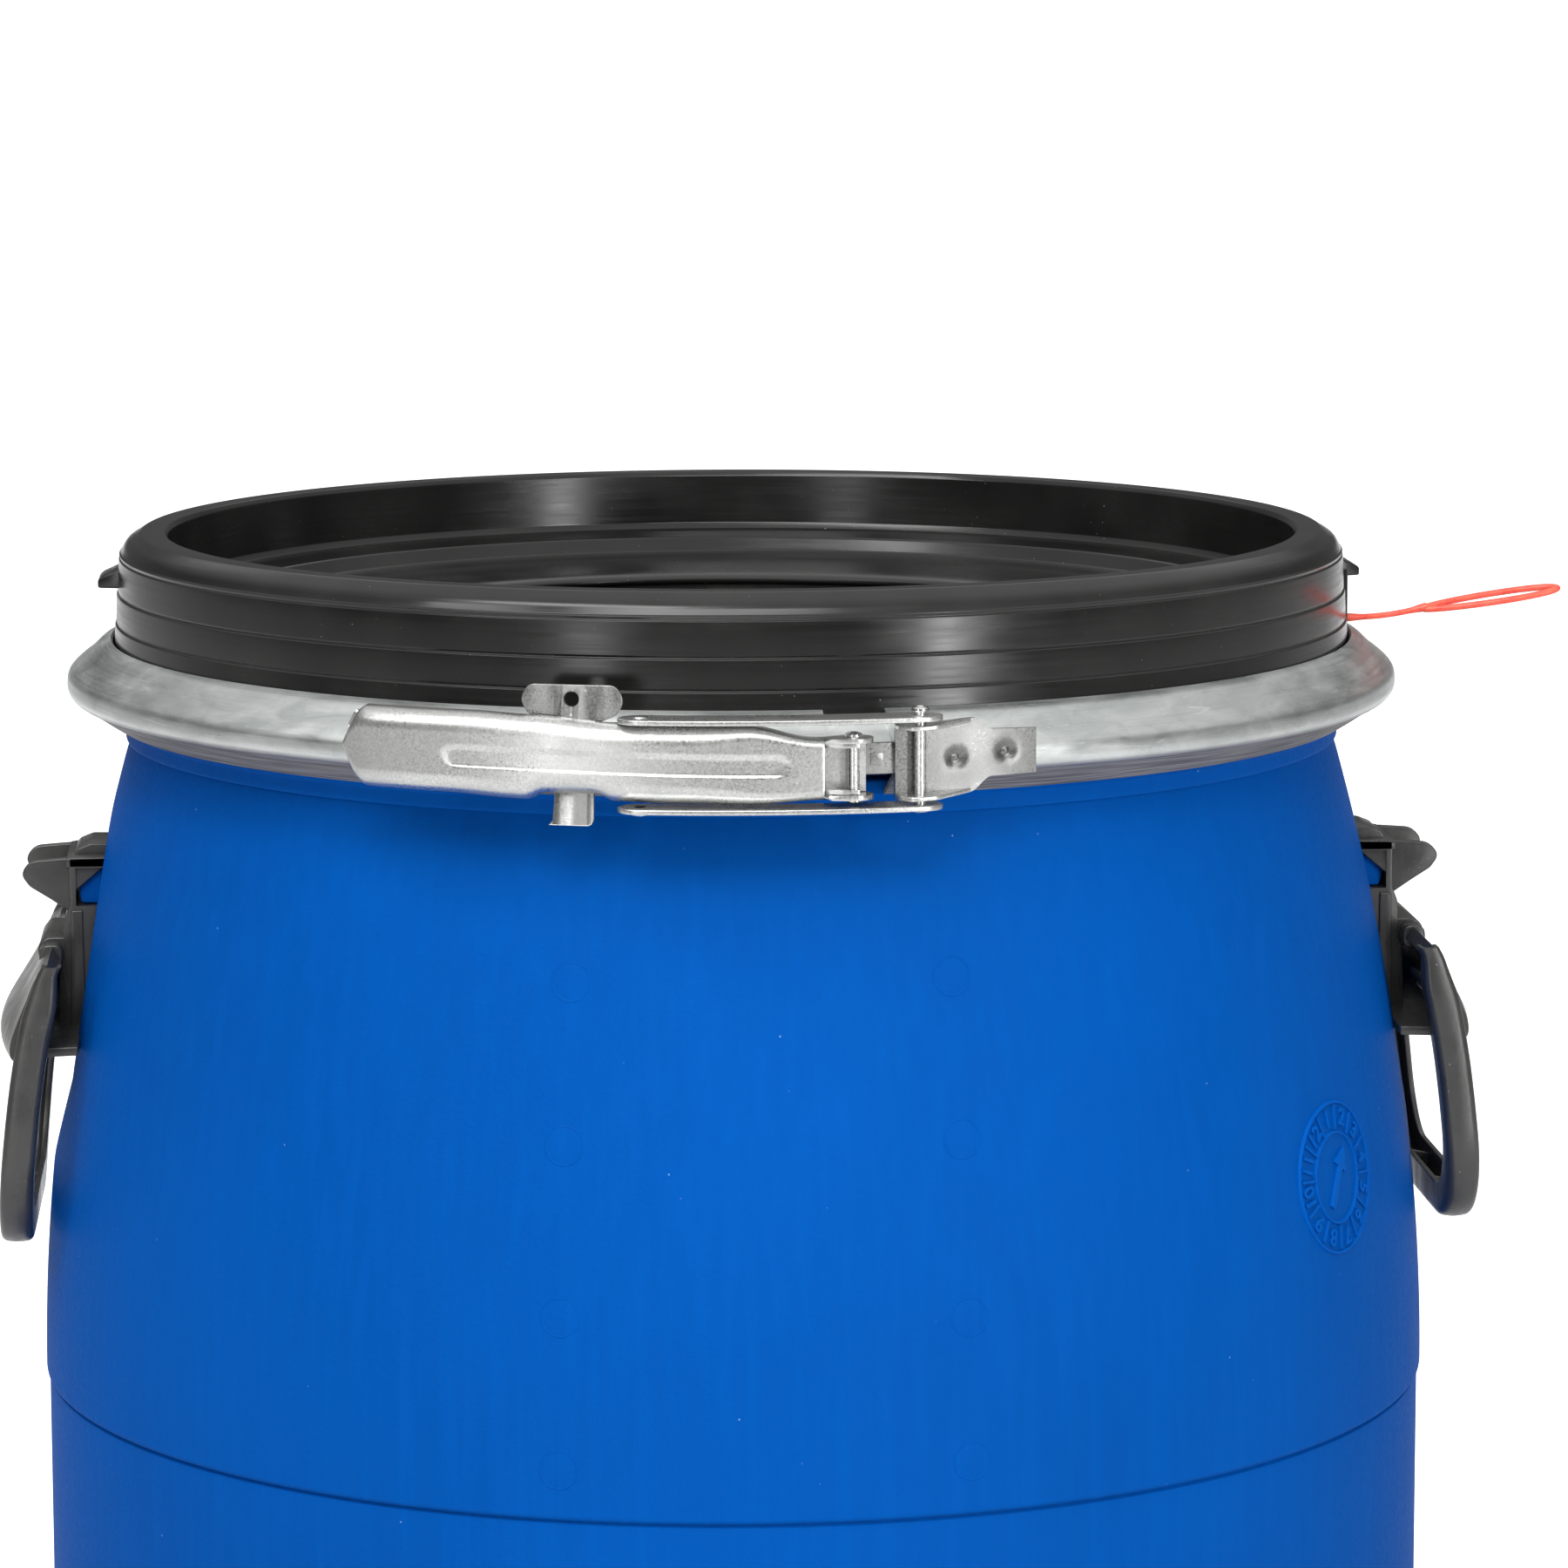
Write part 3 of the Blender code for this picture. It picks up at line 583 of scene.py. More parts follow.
def blue_plastic(name, light):
    look = Look(name, Roughness=0.6, IOR=1.5, Specular_IOR_Level=0.03)
    base = look.mix(look.span(look.noise(9.0, 2.0), 0.3, 0.7), rgb(0.0, 0.066 * light, 0.315 * light),
                    rgb(0.0, 0.075 * light, 0.355 * light))
    drawn = look.drawn((260.0, 260.0, 9.0), 4.0, 0.6)
    base = look.mix(look.span(drawn, 0.42, 0.7, 0.0, 0.35), base, rgb(0.0, 0.086 * light, 0.395 * light))
    dust = look.math("ADD", look.specks(170.0, 0.055, 0.05), look.specks(420.0, 0.07, 0.012))
    look.colour(look.mix(look.math("MULTIPLY", dust, 0.45), base, rgb(0.30, 0.48, 0.80)))
    look.rough(look.span(look.noise(700.0, 2.0), 0.3, 0.7, 0.55, 0.68))
    look.bump(look.noise(24.0, 1.0), 0.5, 0.25)
    look.bump(look.noise(620.0, 3.0, 0.55), 0.16, 0.7)
    return look.material


def lid_plastic():
    look = Look("black_lid", Roughness=0.2, IOR=1.5, Specular_IOR_Level=0.5)
    haze = look.noise(30.0, 4.0)
    base = look.mix(look.span(haze, 0.35, 0.75), rgb(0.0055, 0.0052, 0.005), rgb(0.013, 0.0125, 0.012))
    dust = look.math("ADD", look.specks(330.0, 0.09, 0.10), look.specks(620.0, 0.1, 0.06))
    gathered = look.math("MULTIPLY", dust, look.span(look.noise(16.0, 3.0), 0.45, 0.7, 0.1, 0.75))
    look.colour(look.mix(gathered, base, rgb(0.42, 0.40, 0.37)))
    streaks = look.drawn((20.0, 20.0, 900.0), 3.0, 0.6, look.rolled_out())
    look.rough(look.span(look.math("ADD", streaks, haze), 0.7, 1.4, 0.15, 0.32))
    look.bump(look.noise(90.0, 2.0), 0.12, 0.25)
    look.bump(gathered, 0.06, 0.6)
    return look.material


def galvanised():
    """Zinc patches and drawn streaks, with a dull, ribbed lower lip where the band turns in; the ribs are
    drawn as darker and lighter stripes, a painted shading of the ribbing.
    """
    look = Look("galvanised_steel", Metallic=0.9, Roughness=0.4)
    unrolled = look.rolled_out()
    patches = look.drawn((48.0, 120.0, 130.0), 5.0, 0.62, unrolled, 0.6)
    spangle = look.cells(120.0, look.scaled((0.7, 1.0, 1.0), unrolled))[1]
    drawn = look.drawn((14.0, 900.0, 1500.0), 4.0, 0.7, unrolled)
    base = look.mix(look.span(patches, 0.36, 0.64), rgb(0.47, 0.50, 0.495), rgb(0.64, 0.66, 0.65))
    base = look.mix(look.span(spangle, 0.0, 1.0, 0.0, 0.30), base, rgb(0.78, 0.80, 0.79))
    base = look.mix(look.span(drawn, 0.52, 0.75, 0.0, 0.35), base, rgb(0.30, 0.32, 0.33))
    marks = look.span(look.drawn((60.0, 300.0, 420.0), 6.0, 0.75, unrolled, 1.2), 0.60, 0.66)
    base = look.mix(look.math("MULTIPLY", marks, 0.5), base, rgb(0.86, 0.88, 0.87))
    lip = look.span(look.apart(look.place)[2], *RIBBED_LIP_Z)
    # the lip's ribs as painted shading: darker and lighter stripes in the colour
    rib_shading = look.span(look.drawn((30.0, 1500.0, 2600.0), 2.0, 0.5, unrolled), 0.4, 0.6)
    look.colour(look.mix(lip, base, look.mix(rib_shading, rgb(0.10, 0.095, 0.09), rgb(0.26, 0.25, 0.24))))
    rough = look.span(look.math("ADD", patches, drawn), 0.75, 1.25, 0.26, 0.46)
    look.rough(look.math("ADD", rough, look.math("MULTIPLY", lip, 0.25)))
    look.feed(look.shader.inputs["Metallic"], look.span(lip, 0.0, 1.0, 0.9, 0.25))
    look.bump(drawn, 0.03, 0.6)
    look.bump(patches, 0.05, 0.35)
    look.bump(marks, 0.03, 0.5)
    return look.material


def satin_zinc(name, light):
    look = Look(name, Metallic=0.92, Roughness=0.42)
    grain = look.noise(1500.0, 2.0, 0.6)
    cloud = look.noise(70.0, 4.0, 0.6)
    base = look.mix(look.span(grain, 0.32, 0.68), grey(0.50 * light), grey(0.68 * light))
    base = look.mix(look.span(cloud, 0.35, 0.7, 0.0, 0.35), base, grey(0.42 * light))
    scratches = look.span(look.drawn((90.0, 90.0, 1300.0), 3.0, 0.8, None, 2.0), 0.70, 0.74)
    marks = look.math("MAXIMUM", look.specks(260.0, 0.10, 0.10), scratches)
    look.colour(look.mix(look.math("MULTIPLY", marks, 0.5), base, grey(0.85)))
    look.rough(look.span(look.math("ADD", grain, cloud), 0.7, 1.3, 0.24, 0.38))
    look.bump(grain, 0.04, 0.7)
    look.bump(marks, 0.012, 0.5)
    return look.material


def bright_zinc():
    look = Look("bright_zinc", Metallic=1.0, Roughness=0.22)
    grain = look.noise(900.0, 3.0, 0.6)
    look.colour(look.mix(look.span(grain, 0.3, 0.7), rgb(0.66, 0.67, 0.66), rgb(0.86, 0.86, 0.85)))
    look.rough(look.span(grain, 0.3, 0.7, 0.16, 0.34))
    look.bump(grain, 0.02, 0.5)
    return look.material


def handle_plastic():
    look = Look("black_handle", Roughness=0.38, IOR=1.49, Specular_IOR_Level=0.6)
    cloud = look.noise(60.0, 3.0)
    drawn = look.drawn((420.0, 420.0, 26.0), 3.0, 0.6)
    base = look.mix(look.span(cloud, 0.3, 0.7), rgb(0.026, 0.0255, 0.0243), rgb(0.048, 0.0466, 0.0442))
    dust = look.math("ADD", look.specks(260.0, 0.09, 0.10), look.specks(700.0, 0.12, 0.08))
    look.colour(look.mix(look.math("MULTIPLY", dust, 0.5), base, rgb(0.36, 0.35, 0.33)))
    look.rough(look.span(look.math("ADD", drawn, cloud), 0.7, 1.3, 0.24, 0.40))
    look.bump(look.noise(1300.0, 2.0), 0.05, 0.5)
    look.bump(drawn, 0.04, 0.3)
    return look.material


def seal_plastic():
    look = Look("red_seal", Roughness=0.3, IOR=1.49, Subsurface_Weight=0.35, Subsurface_Scale=0.002,
                Subsurface_Radius=(1.0, 0.35, 0.25))
    cloud = look.noise(400.0, 3.0)
    look.colour(look.mix(look.span(cloud, 0.3, 0.7), rgb(0.78, 0.075, 0.045), rgb(0.92, 0.13, 0.075)))
    look.rough(look.span(cloud, 0.3, 0.7, 0.24, 0.4))
    look.bump(look.noise(900.0, 2.0), 0.04, 0.4)
    return look.material


def rubber():
    look = Look("gasket_rubber", Roughness=0.8)
    grain = look.noise(600.0, 4.0)
    look.colour(look.mix(grain, rgb(0.02, 0.02, 0.02), rgb(0.06, 0.06, 0.06)))
    look.bump(grain, 0.08, 0.5)
    return look.material


BLUE = blue_plastic("blue_polyethylene", 1.0)
# A lighter copy of the blue for the month dial's numerals, rims, ticks and pointer: painted highlight on the
# raised relief.
LIT_BLUE = blue_plastic("lit_blue", 1.2)
LID = lid_plastic()
STEEL = galvanised()
ZINC = satin_zinc("satin_zinc", 1.0)
# A darker copy of the zinc for the latch strap, the gap plate and its stamp: painted shade for the dark
# surroundings these flat plates reflect.
SHADED_ZINC = satin_zinc("shaded_zinc", 0.55)
# A still darker copy of the zinc for the anchor's back plate: painted shade for the dark surroundings it
# reflects.
SHADED_ANCHOR_ZINC = satin_zinc("shaded_anchor_zinc", 0.34)
PIN = bright_zinc()
HANDLE = handle_plastic()
SEAL = seal_plastic()
RUBBER = rubber()


# ---------------------------------------------------------------- body

def shoulder_radius(z):
    low, high = SHOULDER_Z
    t = max(0.0, (z - low) / (high - low))
    return BELLY_R - (BELLY_R - NECK_R) * min(t, 1.0) ** SHOULDER_POWER


def body_outline():
    """The outer side from the base's middle to the mouth, then the inner side back down."""
    side = BASE_R + 0.4
    foot = rounded([(38.0, 0.0, 3.0), (45.0, 3.0, 3.0), (152.0, 3.0, 3.0), (161.0, 0.0, 4.0),
                    (184.0, 0.0, 5.0), (191.0, 2.5, 6.0), (BASE_R, 14.0, 14.0), (side, 40.0, 0.0)])
    wall = [(side + (LOWER_R - side) * ease(40.0, 250.0, z), float(z)) for z in range(60, 370, 12)]
    seam = [(LOWER_R, -3.0), (LOWER_R - 0.1, -1.5), (LOWER_R - 0.75, -0.9), (LOWER_R - 0.8, -0.3),
            (BELLY_R - 0.5, -0.1), (BELLY_R - 0.1, 0.3), (BELLY_R, 1.0)]
    seam = [(r, PARTING_Z + rise) for r, rise in seam]
    top = SHOULDER_Z[1]
    steps = 70
    heights = [PARTING_Z + 1.5 + (top - PARTING_Z - 1.5) * i / steps for i in range(steps + 1)]
    shoulder = [(shoulder_radius(z), z) for z in heights]
    inner = MOUTH_R - WALL
    mouth = rounded([(NECK_R, top + 4.0, 1.0), (NECK_R, 567.6, 1.0), (176.8, 569.0, 1.0), (176.8, 573.0, 1.2),
                     (MOUTH_R, 574.6, 1.0), (MOUTH_R, MOUTH_Z, 1.0), (inner, MOUTH_Z, 1.0),
                     (inner, top + 8.0, 2.0)])
    inside = [(shoulder_radius(z) - WALL, z) for z in heights[::-2]]
    floor_line = [(LOWER_R - WALL, PARTING_Z - 6.0)]
    floor_line += arc((BASE_R - WALL - 12.0, FLOOR_Z + 12.0), 12.0, 0.0, -90.0, 8)
    return [(0.0, 0.0)] + foot + wall + seam + shoulder + mouth + inside + floor_line + [(0.0, FLOOR_Z)]


def facet_limit(z):
    """How far out the body may reach on each handle's side, where a flat facet is set into the shoulder."""
    return FACET_X + (FACET_Z - z) * (FACET_FLARE if z < FACET_Z else FACET_LEAN)


def flatten_facets(made):
    """Presses the two facets into the body's outer wall, with a soft edge."""
    for vertex in made.data.vertices:
        x, y, z = vertex.co / MM
        if not 385.0 < z < 548.0 or math.hypot(x, y) < shoulder_radius(z) - 1.0:
            continue
        limit = facet_limit(z)
        over = (abs(x) - limit) / FACET_EDGE
        if over > -4.0:
            pressed = limit + FACET_EDGE * 0.5 * (over - math.sqrt(over ** 2 + 1.0))
            vertex.co.x = math.copysign(min(abs(x), pressed + 0.12), x) * MM


def on_body(azimuth, z_middle):
    """A map from (across, up, out) to the body's outer side, where out is measured from its surface."""
    def place(across, up, out):
        z = z_middle + up
        radius = shoulder_radius(z) + out
        return polar(radius, azimuth + math.degrees(across / radius), z)
    return place


def vent_mark(name, azimuth, z):
    """The faint round witness of a mould vent: a flat disc with a fine rim."""
    outline = ((0.0, 0.10), (4.4, 0.10), (4.75, 0.04), (4.95, 0.16), (5.2, 0.13), (5.45, -0.15))
    return wrapped(name, circled(on_body(azimuth, z), outline, 48), BLUE, ring=False)


def numeral(number, place):
    """A numeral as a thin raised mesh, mapped on to a surface."""
    curve = bpy.data.curves.new("numeral", "FONT")
    curve.body = str(number)
    curve.size = NUMERAL_SIZE
    curve.align_x = "CENTER"
    curve.align_y = "CENTER"
    curve.extrude = DIAL_RISE / 2.0
    curve.bevel_depth = 0.12
    curve.bevel_resolution = 1
    curve.resolution_u = 4
    holder = link("numeral", curve)
    mesh = evaluated(holder)
    bpy.data.objects.remove(holder)
    shape = bmesh.new()
    shape.from_mesh(mesh)
    bpy.data.meshes.remove(mesh)
    for vertex in shape.verts:
        vertex.co = place(*vertex.co)
    return from_mesh("numeral", shape, LIT_BLUE)


def month_dial():
    """The moulded month clock on the body: a rimmed ring of twelve numerals round a pointer."""
    place = on_body(*DIAL_AT)
    outer, inner = DIAL_RIMS
    # the dial's relief takes the lighter blue, a painted highlight
    parts = []
    for radius in DIAL_RIMS:
        ridge = [(radius - 0.6, -0.3), (radius - 0.3, DIAL_RISE * 0.8), (radius, DIAL_RISE),
                 (radius + 0.3, DIAL_RISE * 0.8), (radius + 0.6, -0.3)]
        parts.append(wrapped("rim", circled(place, ridge, 96), LIT_BLUE))
    bar = rounded([(-0.35, inner + 0.7, 0.1), (0.35, inner + 0.7, 0.1), (0.35, outer - 1.0, 0.1),
                   (-0.35, outer - 1.0, 0.1)], 45.0)
    for month in range(12):
        turn = 10.0 - 30.0 * month
        parts.append(numeral(month + 1, turned_about(place, turn, (outer + inner) / 2.0, 0.3)))
        parts.append(plate("tick", bar, -0.3, DIAL_RISE, turned_about(place, turn + 15.0), LIT_BLUE, 0.2))
    arrow = [(-1.3, -9.0), (1.3, -9.0), (1.3, 3.0), (3.6, 3.0), (0.0, 9.0), (-3.6, 3.0), (-1.3, 3.0)]
    parts.append(plate("arrow", arrow, -0.3, DIAL_RISE * 1.2, turned_about(place, -32.0), LIT_BLUE, 0.25))
    return joined("month_dial", parts)


def body():
    shell = turned("drum_shell", body_outline(), BLUE, 360)
    flatten_facets(shell)
    stand_in(shell, "drum", "blue_plastic", "drum_body")
    block = rounded([(178.0, 516.4, 0.0), (187.4, 516.6, 1.0), (188.1, 520.0, 0.8), (186.6, 526.0, 1.0),
                     (178.0, 526.6, 0.0)])
    for side, word in ((1, "right"), (-1, "left")):
        lug = plate("bracket_lug_" + word, block, -13.6, 13.6, to_side(side), BLUE, 0.5)
        stand_in(lug, "drum", "blue_plastic")
    for column, (azimuth, heights) in enumerate(VENT_MARKS):
        for row, height in enumerate(heights):
            stand_in(vent_mark(f"vent_mark_{column}_{row}", azimuth, height), "drum", "blue_plastic")
    stand_in(month_dial(), "drum", "blue_plastic")


# ---------------------------------------------------------------- lid

def lid_outline():
    """The lid's section: a flat dished panel, a wall, the rounded rim and the skirt that the ring clamps."""
    top = LID_TOP
    wall = LID_WALL_R
    upper = rounded([
        (112.0, PANEL_Z, 90.0), (141.0, PANEL_Z + 3.8, 14.0), (146.8, 598.8, 1.2), (149.4, 602.8, 1.6),
        (159.6, 604.4, 0.8), (160.9, 606.2, 0.6), (161.5, top - 1.4, 0.8), (162.4, top - 0.1, 0.6),
        (169.0, top - 0.1, 2.0), (173.6, top - 2.9, 5.0), (wall - 0.5, 616.6, 0.5), (wall, 616.2, 0.2),
        (wall - 0.35, 615.3, 0.2), (wall + 0.1, 614.9, 0.2), (wall + 0.5, 606.0, 0.2),
        (wall + 0.2, 605.4, 0.2), (wall + 0.85, 604.9, 0.2), (wall + 1.1, 597.4, 0.2),
        (wall + 0.8, 596.8, 0.2), (wall + 1.4, 596.3, 0.2), (177.2, 588.4, 1.0), (184.0, 582.0, 1.0),
        (184.0, 575.2, 0.6), (173.2, 574.9, 0.3),
    ], 12.0)
    under = [
        (172.9, 591.4), (172.7, 614.9), (171.8, 617.6), (169.8, 619.0), (165.2, 618.6), (164.0, 616.8),
        (163.6, 604.6), (162.0, 602.6), (152.0, 600.4), (150.2, 599.2), (148.8, 596.8), (146.6, 595.0),
        (140.0, 593.3), (112.0, 590.4),
    ]
    return [(0.0, PANEL_Z)] + upper + under + [(0.0, 590.4)]


def lid_ear(side):
    """The small ledge that sticks out of the lid's wall on each side, sloping on top."""
    outline = rounded([(-11.0, 173.0, 0.0), (11.0, 173.0, 0.0), (9.0, 181.4, 1.6), (-9.0, 181.4, 1.6)])

    def place(u, v, w):
        drop = max(0.0, v - 176.0) * 0.7
        return Vector((v * side, -u, w - (drop if w > 610.0 else 0.0)))
    return plate("lid_ear", outline, 606.6, 612.6, place, LID, 0.5)


def lid_rib(side):
    """The fine upright rib that runs down the lid's wall beside each ear."""
    outline = rounded([(-0.8, 592.0, 0.3), (0.8, 592.0, 0.3), (0.8, 610.0, 0.3), (-0.8, 610.0, 0.3)])
    return plate("lid_rib", outline, 174.0, 177.1, around(90.0 * side - 7.0), LID)


def lid():
    stand_in(turned("dished_lid", lid_outline(), LID, 360, 24.0), "lid", "lid_plastic", "lid")
    for side, word in ((1, "right"), (-1, "left")):
        stand_in(joined("lid_ear_" + word, [lid_ear(side), lid_rib(side)]), "lid", "lid_plastic")
    section = rounded([(166.0, 613.7, 0.3), (170.4, 613.7, 1.2), (171.2, 616.0, 0.8), (169.8, 618.1, 0.8),
                       (166.2, 618.1, 0.8), (164.9, 616.0, 0.8)])
    stand_in(turned("gasket", section, RUBBER, 144), "lid", "gasket_rubber", "lid_gasket")


# ---------------------------------------------------------------- clamp ring

def clamp_band():
    """The whole band in one springy piece, open at the front gap."""
    outside = smooth_line(RING_SECTION, 4)
    inside = offset_line(outside, -SHEET)
    lip = (inside[0][0] - 0.1, outside[0][1] - 0.6)
    left, right = RING_GAP
    made = swept("clamp_band", outside + inside[::-1] + [lip], STEEL, STEPS, right, left + 360.0, 30.0)
    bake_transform(made)
    stand_in(made, None, "galvanised_steel", "ring_band_left", "ring_band_right")


def tongue():
    """The strip that bridges the band's gap from inside, lipless on top, under a plain stamped plate."""
    outside = offset_line(smooth_line(RING_SECTION[:8], 4)[4:], -SHEET - 0.15)
    strip = swept("gap_strip", outside + offset_line(outside, -0.9)[::-1], STEEL, 40, *STRIP_SPAN, 30.0)
    bend = around(TONGUE_AT)
    half = TONGUE_HALF
    low, high = TONGUE_Z
    cover = rounded([(-half, low, 0.5), (half, low, 0.5), (half, high, 0.5), (-half, high, 0.5)])
    # the gap plate and its stamp take the darker zinc, painted shade
    face = plate("gap_plate", cover, 189.6, 190.7, bend, SHADED_ZINC, 0.25, spread(-half, half, 2.0))
    low, high = low + 2.4, high - 2.6
    stamp = rounded([(-1.6, low, 0.4), (1.8, low, 0.4), (1.8, high, 0.4), (-1.6, high, 0.4)])
    mark = plate("stamp", stamp, 190.5, 191.0, bend, SHADED_ZINC, 0.15)
    stand_in(joined("gap_tongue", [strip, face, mark]), "ring_left", "galvanised_steel", "ring_tongue")


def flange(azimuth, reach, near, low, high, lean, radius):
    """A bracket's ear: rounded round the pin at its near end, tapering back to the band at its far end."""
    place = beside(azimuth)
    back = -3.3
    turn = math.copysign(1.0, reach)
    outline = [(near, back, 0.0), (near, back + 3.6, 2.4), (-turn * radius * 0.75, radius, 3.0),
               (turn * radius * 0.9, radius, 4.0), (reach, back + 0.9, 3.0), (reach, back, 0.0)]

    def leaning(u, v, w):
        return place(u, v - u * u / (2.0 * PIN_CIRCLE), w + lean * max(0.0, u * turn))
    ends = sorted((near, reach))
    return plate("flange", rounded(outline, 12.0), low, high, leaning, ZINC, 0.3, spread(*ends, 2.5))


def web(azimuth, first, last, low, high, dents, look):
    """A bracket's back plate against the band, from first to last across, with round weld dents."""
    place = around(azimuth)
    cells = 34
    rows = []
    for across in [first] + spread(first, last, 0.7) + [last]:
        bottom, top = follow(low, across), follow(high, across)
        row = []
        for side in (0, 1):
            for k in range(cells + 1):
                t = k / cells if side else 1.0 - k / cells
                z = bottom + (top - bottom) * t
                depth = 0.0
                for dent_at, dent_z in dents:
                    away = math.hypot(across - dent_at, z - dent_z)
                    depth += 1.35 * math.exp(-(away / 1.9) ** 2) - 1.0 * math.exp(-((away / 0.85) ** 4))
                row.append(place(across, z, BAND_FACE_R + SHEET * side - depth))
        rows.append(row)
    return capped("web", rows, look, 42.0)


def lever_bracket():
    """The channel on the band's left end that holds the lever's pin between two ears."""
    low, high = EAR_Z[0] + SHEET + 0.2, EAR_Z[1] - SHEET - 0.2
    back = web(LEVER_PIN_AT, -30.0, 3.6, [(0.0, low)], [(0.0, high)], (), ZINC)
    ears = [flange(LEVER_PIN_AT, -16.0, -4.4, z, z + 1.1, 0.0, 3.3) for z in (low, high - 1.1)]
    stand_in(joined("lever_eye", [back] + ears), "ring_left", "galvanised_steel", "lever_bracket")


def anchor():
    """The channel on the band's right end: ears round the anchor pin, then a shouldered, welded tail."""
    bottom, top = ANCHOR_Z
    low = [(-6.0, bottom), (2.0, bottom + 0.1), (14.1, bottom + 1.0), (20.5, 575.0), (33.2, 575.2)]
    high = [(-6.0, top), (2.0, top), (15.5, top + 0.9), (20.7, 587.3), (33.2, 587.0)]
    # the back plate takes the darkest zinc, painted shade
    back = web(ANCHOR_PIN_AT, -6.0, 33.2, low, high, ((10.4, 580.2), (24.6, 581.3)), SHADED_ANCHOR_ZINC)
    ears = [flange(ANCHOR_PIN_AT, 14.6, -6.0, z, z + SHEET, 0.065, 4.0) for z in (bottom, top - SHEET)]
    stand_in(joined("anchor_eye", [back] + ears), "ring_right", "galvanised_steel", "anchor_bracket")


def latch():
    """The strap behind the lever: a tab with a hole for the seal above, and the flared catch below.

    It is cut while flat and then bent round the band."""
    low, high = TAB_Z
    middle = (low + high) / 2.0
    half = TAB_WIDTH / 2.0
    left, right = HOOK_AT
    outline = rounded([
        (right, HOOK_Z, 1.6), (right, low - 2.4, 1.4), (half - 2.0, low, 3.4), (half, middle, 3.4),
        (half - 2.2, high, 3.4), (-half + 2.2, high, 3.4), (-half, middle, 3.4), (-half + 2.0, low, 3.4),
        (left, low - 2.4, 1.4), (left, HOOK_Z + 1.6, 0.0), (left - 1.3, HOOK_Z, 0.0),
    ], 10.0)
    # the strap takes the darker zinc, painted shade
    made = plate("latch_strap", outline, 0.0, SHEET, flat, SHADED_ZINC, 0.2, spread(-half, half, 2.3))
    hole = arc((0.0, middle + 0.2), TAB_HOLE_R, 4.0, 349.0, 23)
    cut(made, plate("hole", hole, -5.0, 5.0, flat, SHADED_ZINC, 0.0))
    bend = around(LATCH_AT)
    for vertex in made.data.vertices:
        across, up, out = vertex.co / MM
        flare = max(0.0, FLARE_Z - up)
        vertex.co = bend(across, up, 191.0 + out + 0.13 * flare ** 2) * MM
    made.data.set_sharp_from_angle(angle=math.radians(SHARP))
    stand_in(made, "ring_left", "galvanised_steel", "latch_plate")


def lever_edges(azimuth):
    """The lever's lower and upper edge at an azimuth."""
    low = follow([(-34.0, 571.4), (-26.0, 571.2), (-19.6, 570.3), (-18.0, 572.2), (-14.2, 572.2),
                  (-12.6, 570.4), (-8.0, 569.9), (-2.5, 569.9), (3.2, EAR_Z[0])], azimuth)
    high = follow([(-33.0, 592.9), (-24.0, 592.9), (-19.0, 592.3), (-12.6, 590.8), (-3.0, 590.6),
                   (2.8, EAR_Z[1])], azimuth)
    half = (high - low) / 2.0
    along = max(0.05, (azimuth - LEVER_END_AT) * math.radians(LEVER_R[1]))
    rise = half
    if along < LEVER_NOSE_R:
        rise = math.sqrt(2.0 * LEVER_NOSE_R * along - along * along)
    nose = max(0.0, half - rise)
    return low + nose, high - nose


def lever_groove(azimuth, z):
    """The depth of the long shallow recess pressed into the lever's face."""
    first, last = GROOVE_AT
    middle = 581.1 - 1.3 * ease(first, last, azimuth)
    half = 2.0
    along = max(0.0, first + 0.6 - azimuth, azimuth - last + 0.6) * math.radians(LEVER_R[1])
    fade = 1.6 if z > middle else 0.8
    return GROOVE_DEPTH * ease(half + fade, half - 0.25, math.hypot(z - middle, along))


def lever_depth(azimuth):
    """The inner and outer radius of the lever's side walls, which end as ears round the pin."""
    inner, out = LEVER_R
    nose = 1.0 - min(1.0, (azimuth - LEVER_END_AT) / 3.0)
    out -= 2.6 * nose ** 2 + 0.4 * ease(-4.0, 3.0, azimuth)
    if azimuth > LEVER_PIN_AT:
        across = (azimuth - LEVER_PIN_AT) * math.radians(PIN_CIRCLE)
        half = math.sqrt(max(0.0, EAR_R ** 2 - across ** 2))
        return PIN_CIRCLE - half, PIN_CIRCLE + half
    grown = ease(LEVER_FACE_END, LEVER_PIN_AT, azimuth)
    return inner + (PIN_CIRCLE - EAR_R - inner) * grown, out + (PIN_CIRCLE + EAR_R - out) * grown


def lever_section(azimuth):
    """The channel's outer side at an azimuth: its upper wall, rounded edges, face and lower wall."""
    low, high = lever_edges(azimuth)
    inner, out = lever_depth(azimuth)
    soft = min(5.2 - 2.6 * ease(-8.0, 2.0, azimuth), (high - low) / 2.0 - 0.05)
    edge = out - soft
    wall = [inner + (edge - inner) * k / LEVER_FLANGE for k in range(LEVER_FLANGE)]
    section = [(r, high) for r in wall] + arc((edge, high - soft), soft, 90.0, 0.0, LEVER_CORNER)
    for k in range(1, LEVER_CELLS):
        z = high - soft + (low - high + 2.0 * soft) * k / LEVER_CELLS
        section.append((out - lever_groove(azimuth, z), z))
    section += arc((edge, low + soft), soft, 0.0, -90.0, LEVER_CORNER) + [(r, low) for r in wall[::-1]]
    return [polar(r, azimuth, z) for r, z in section]


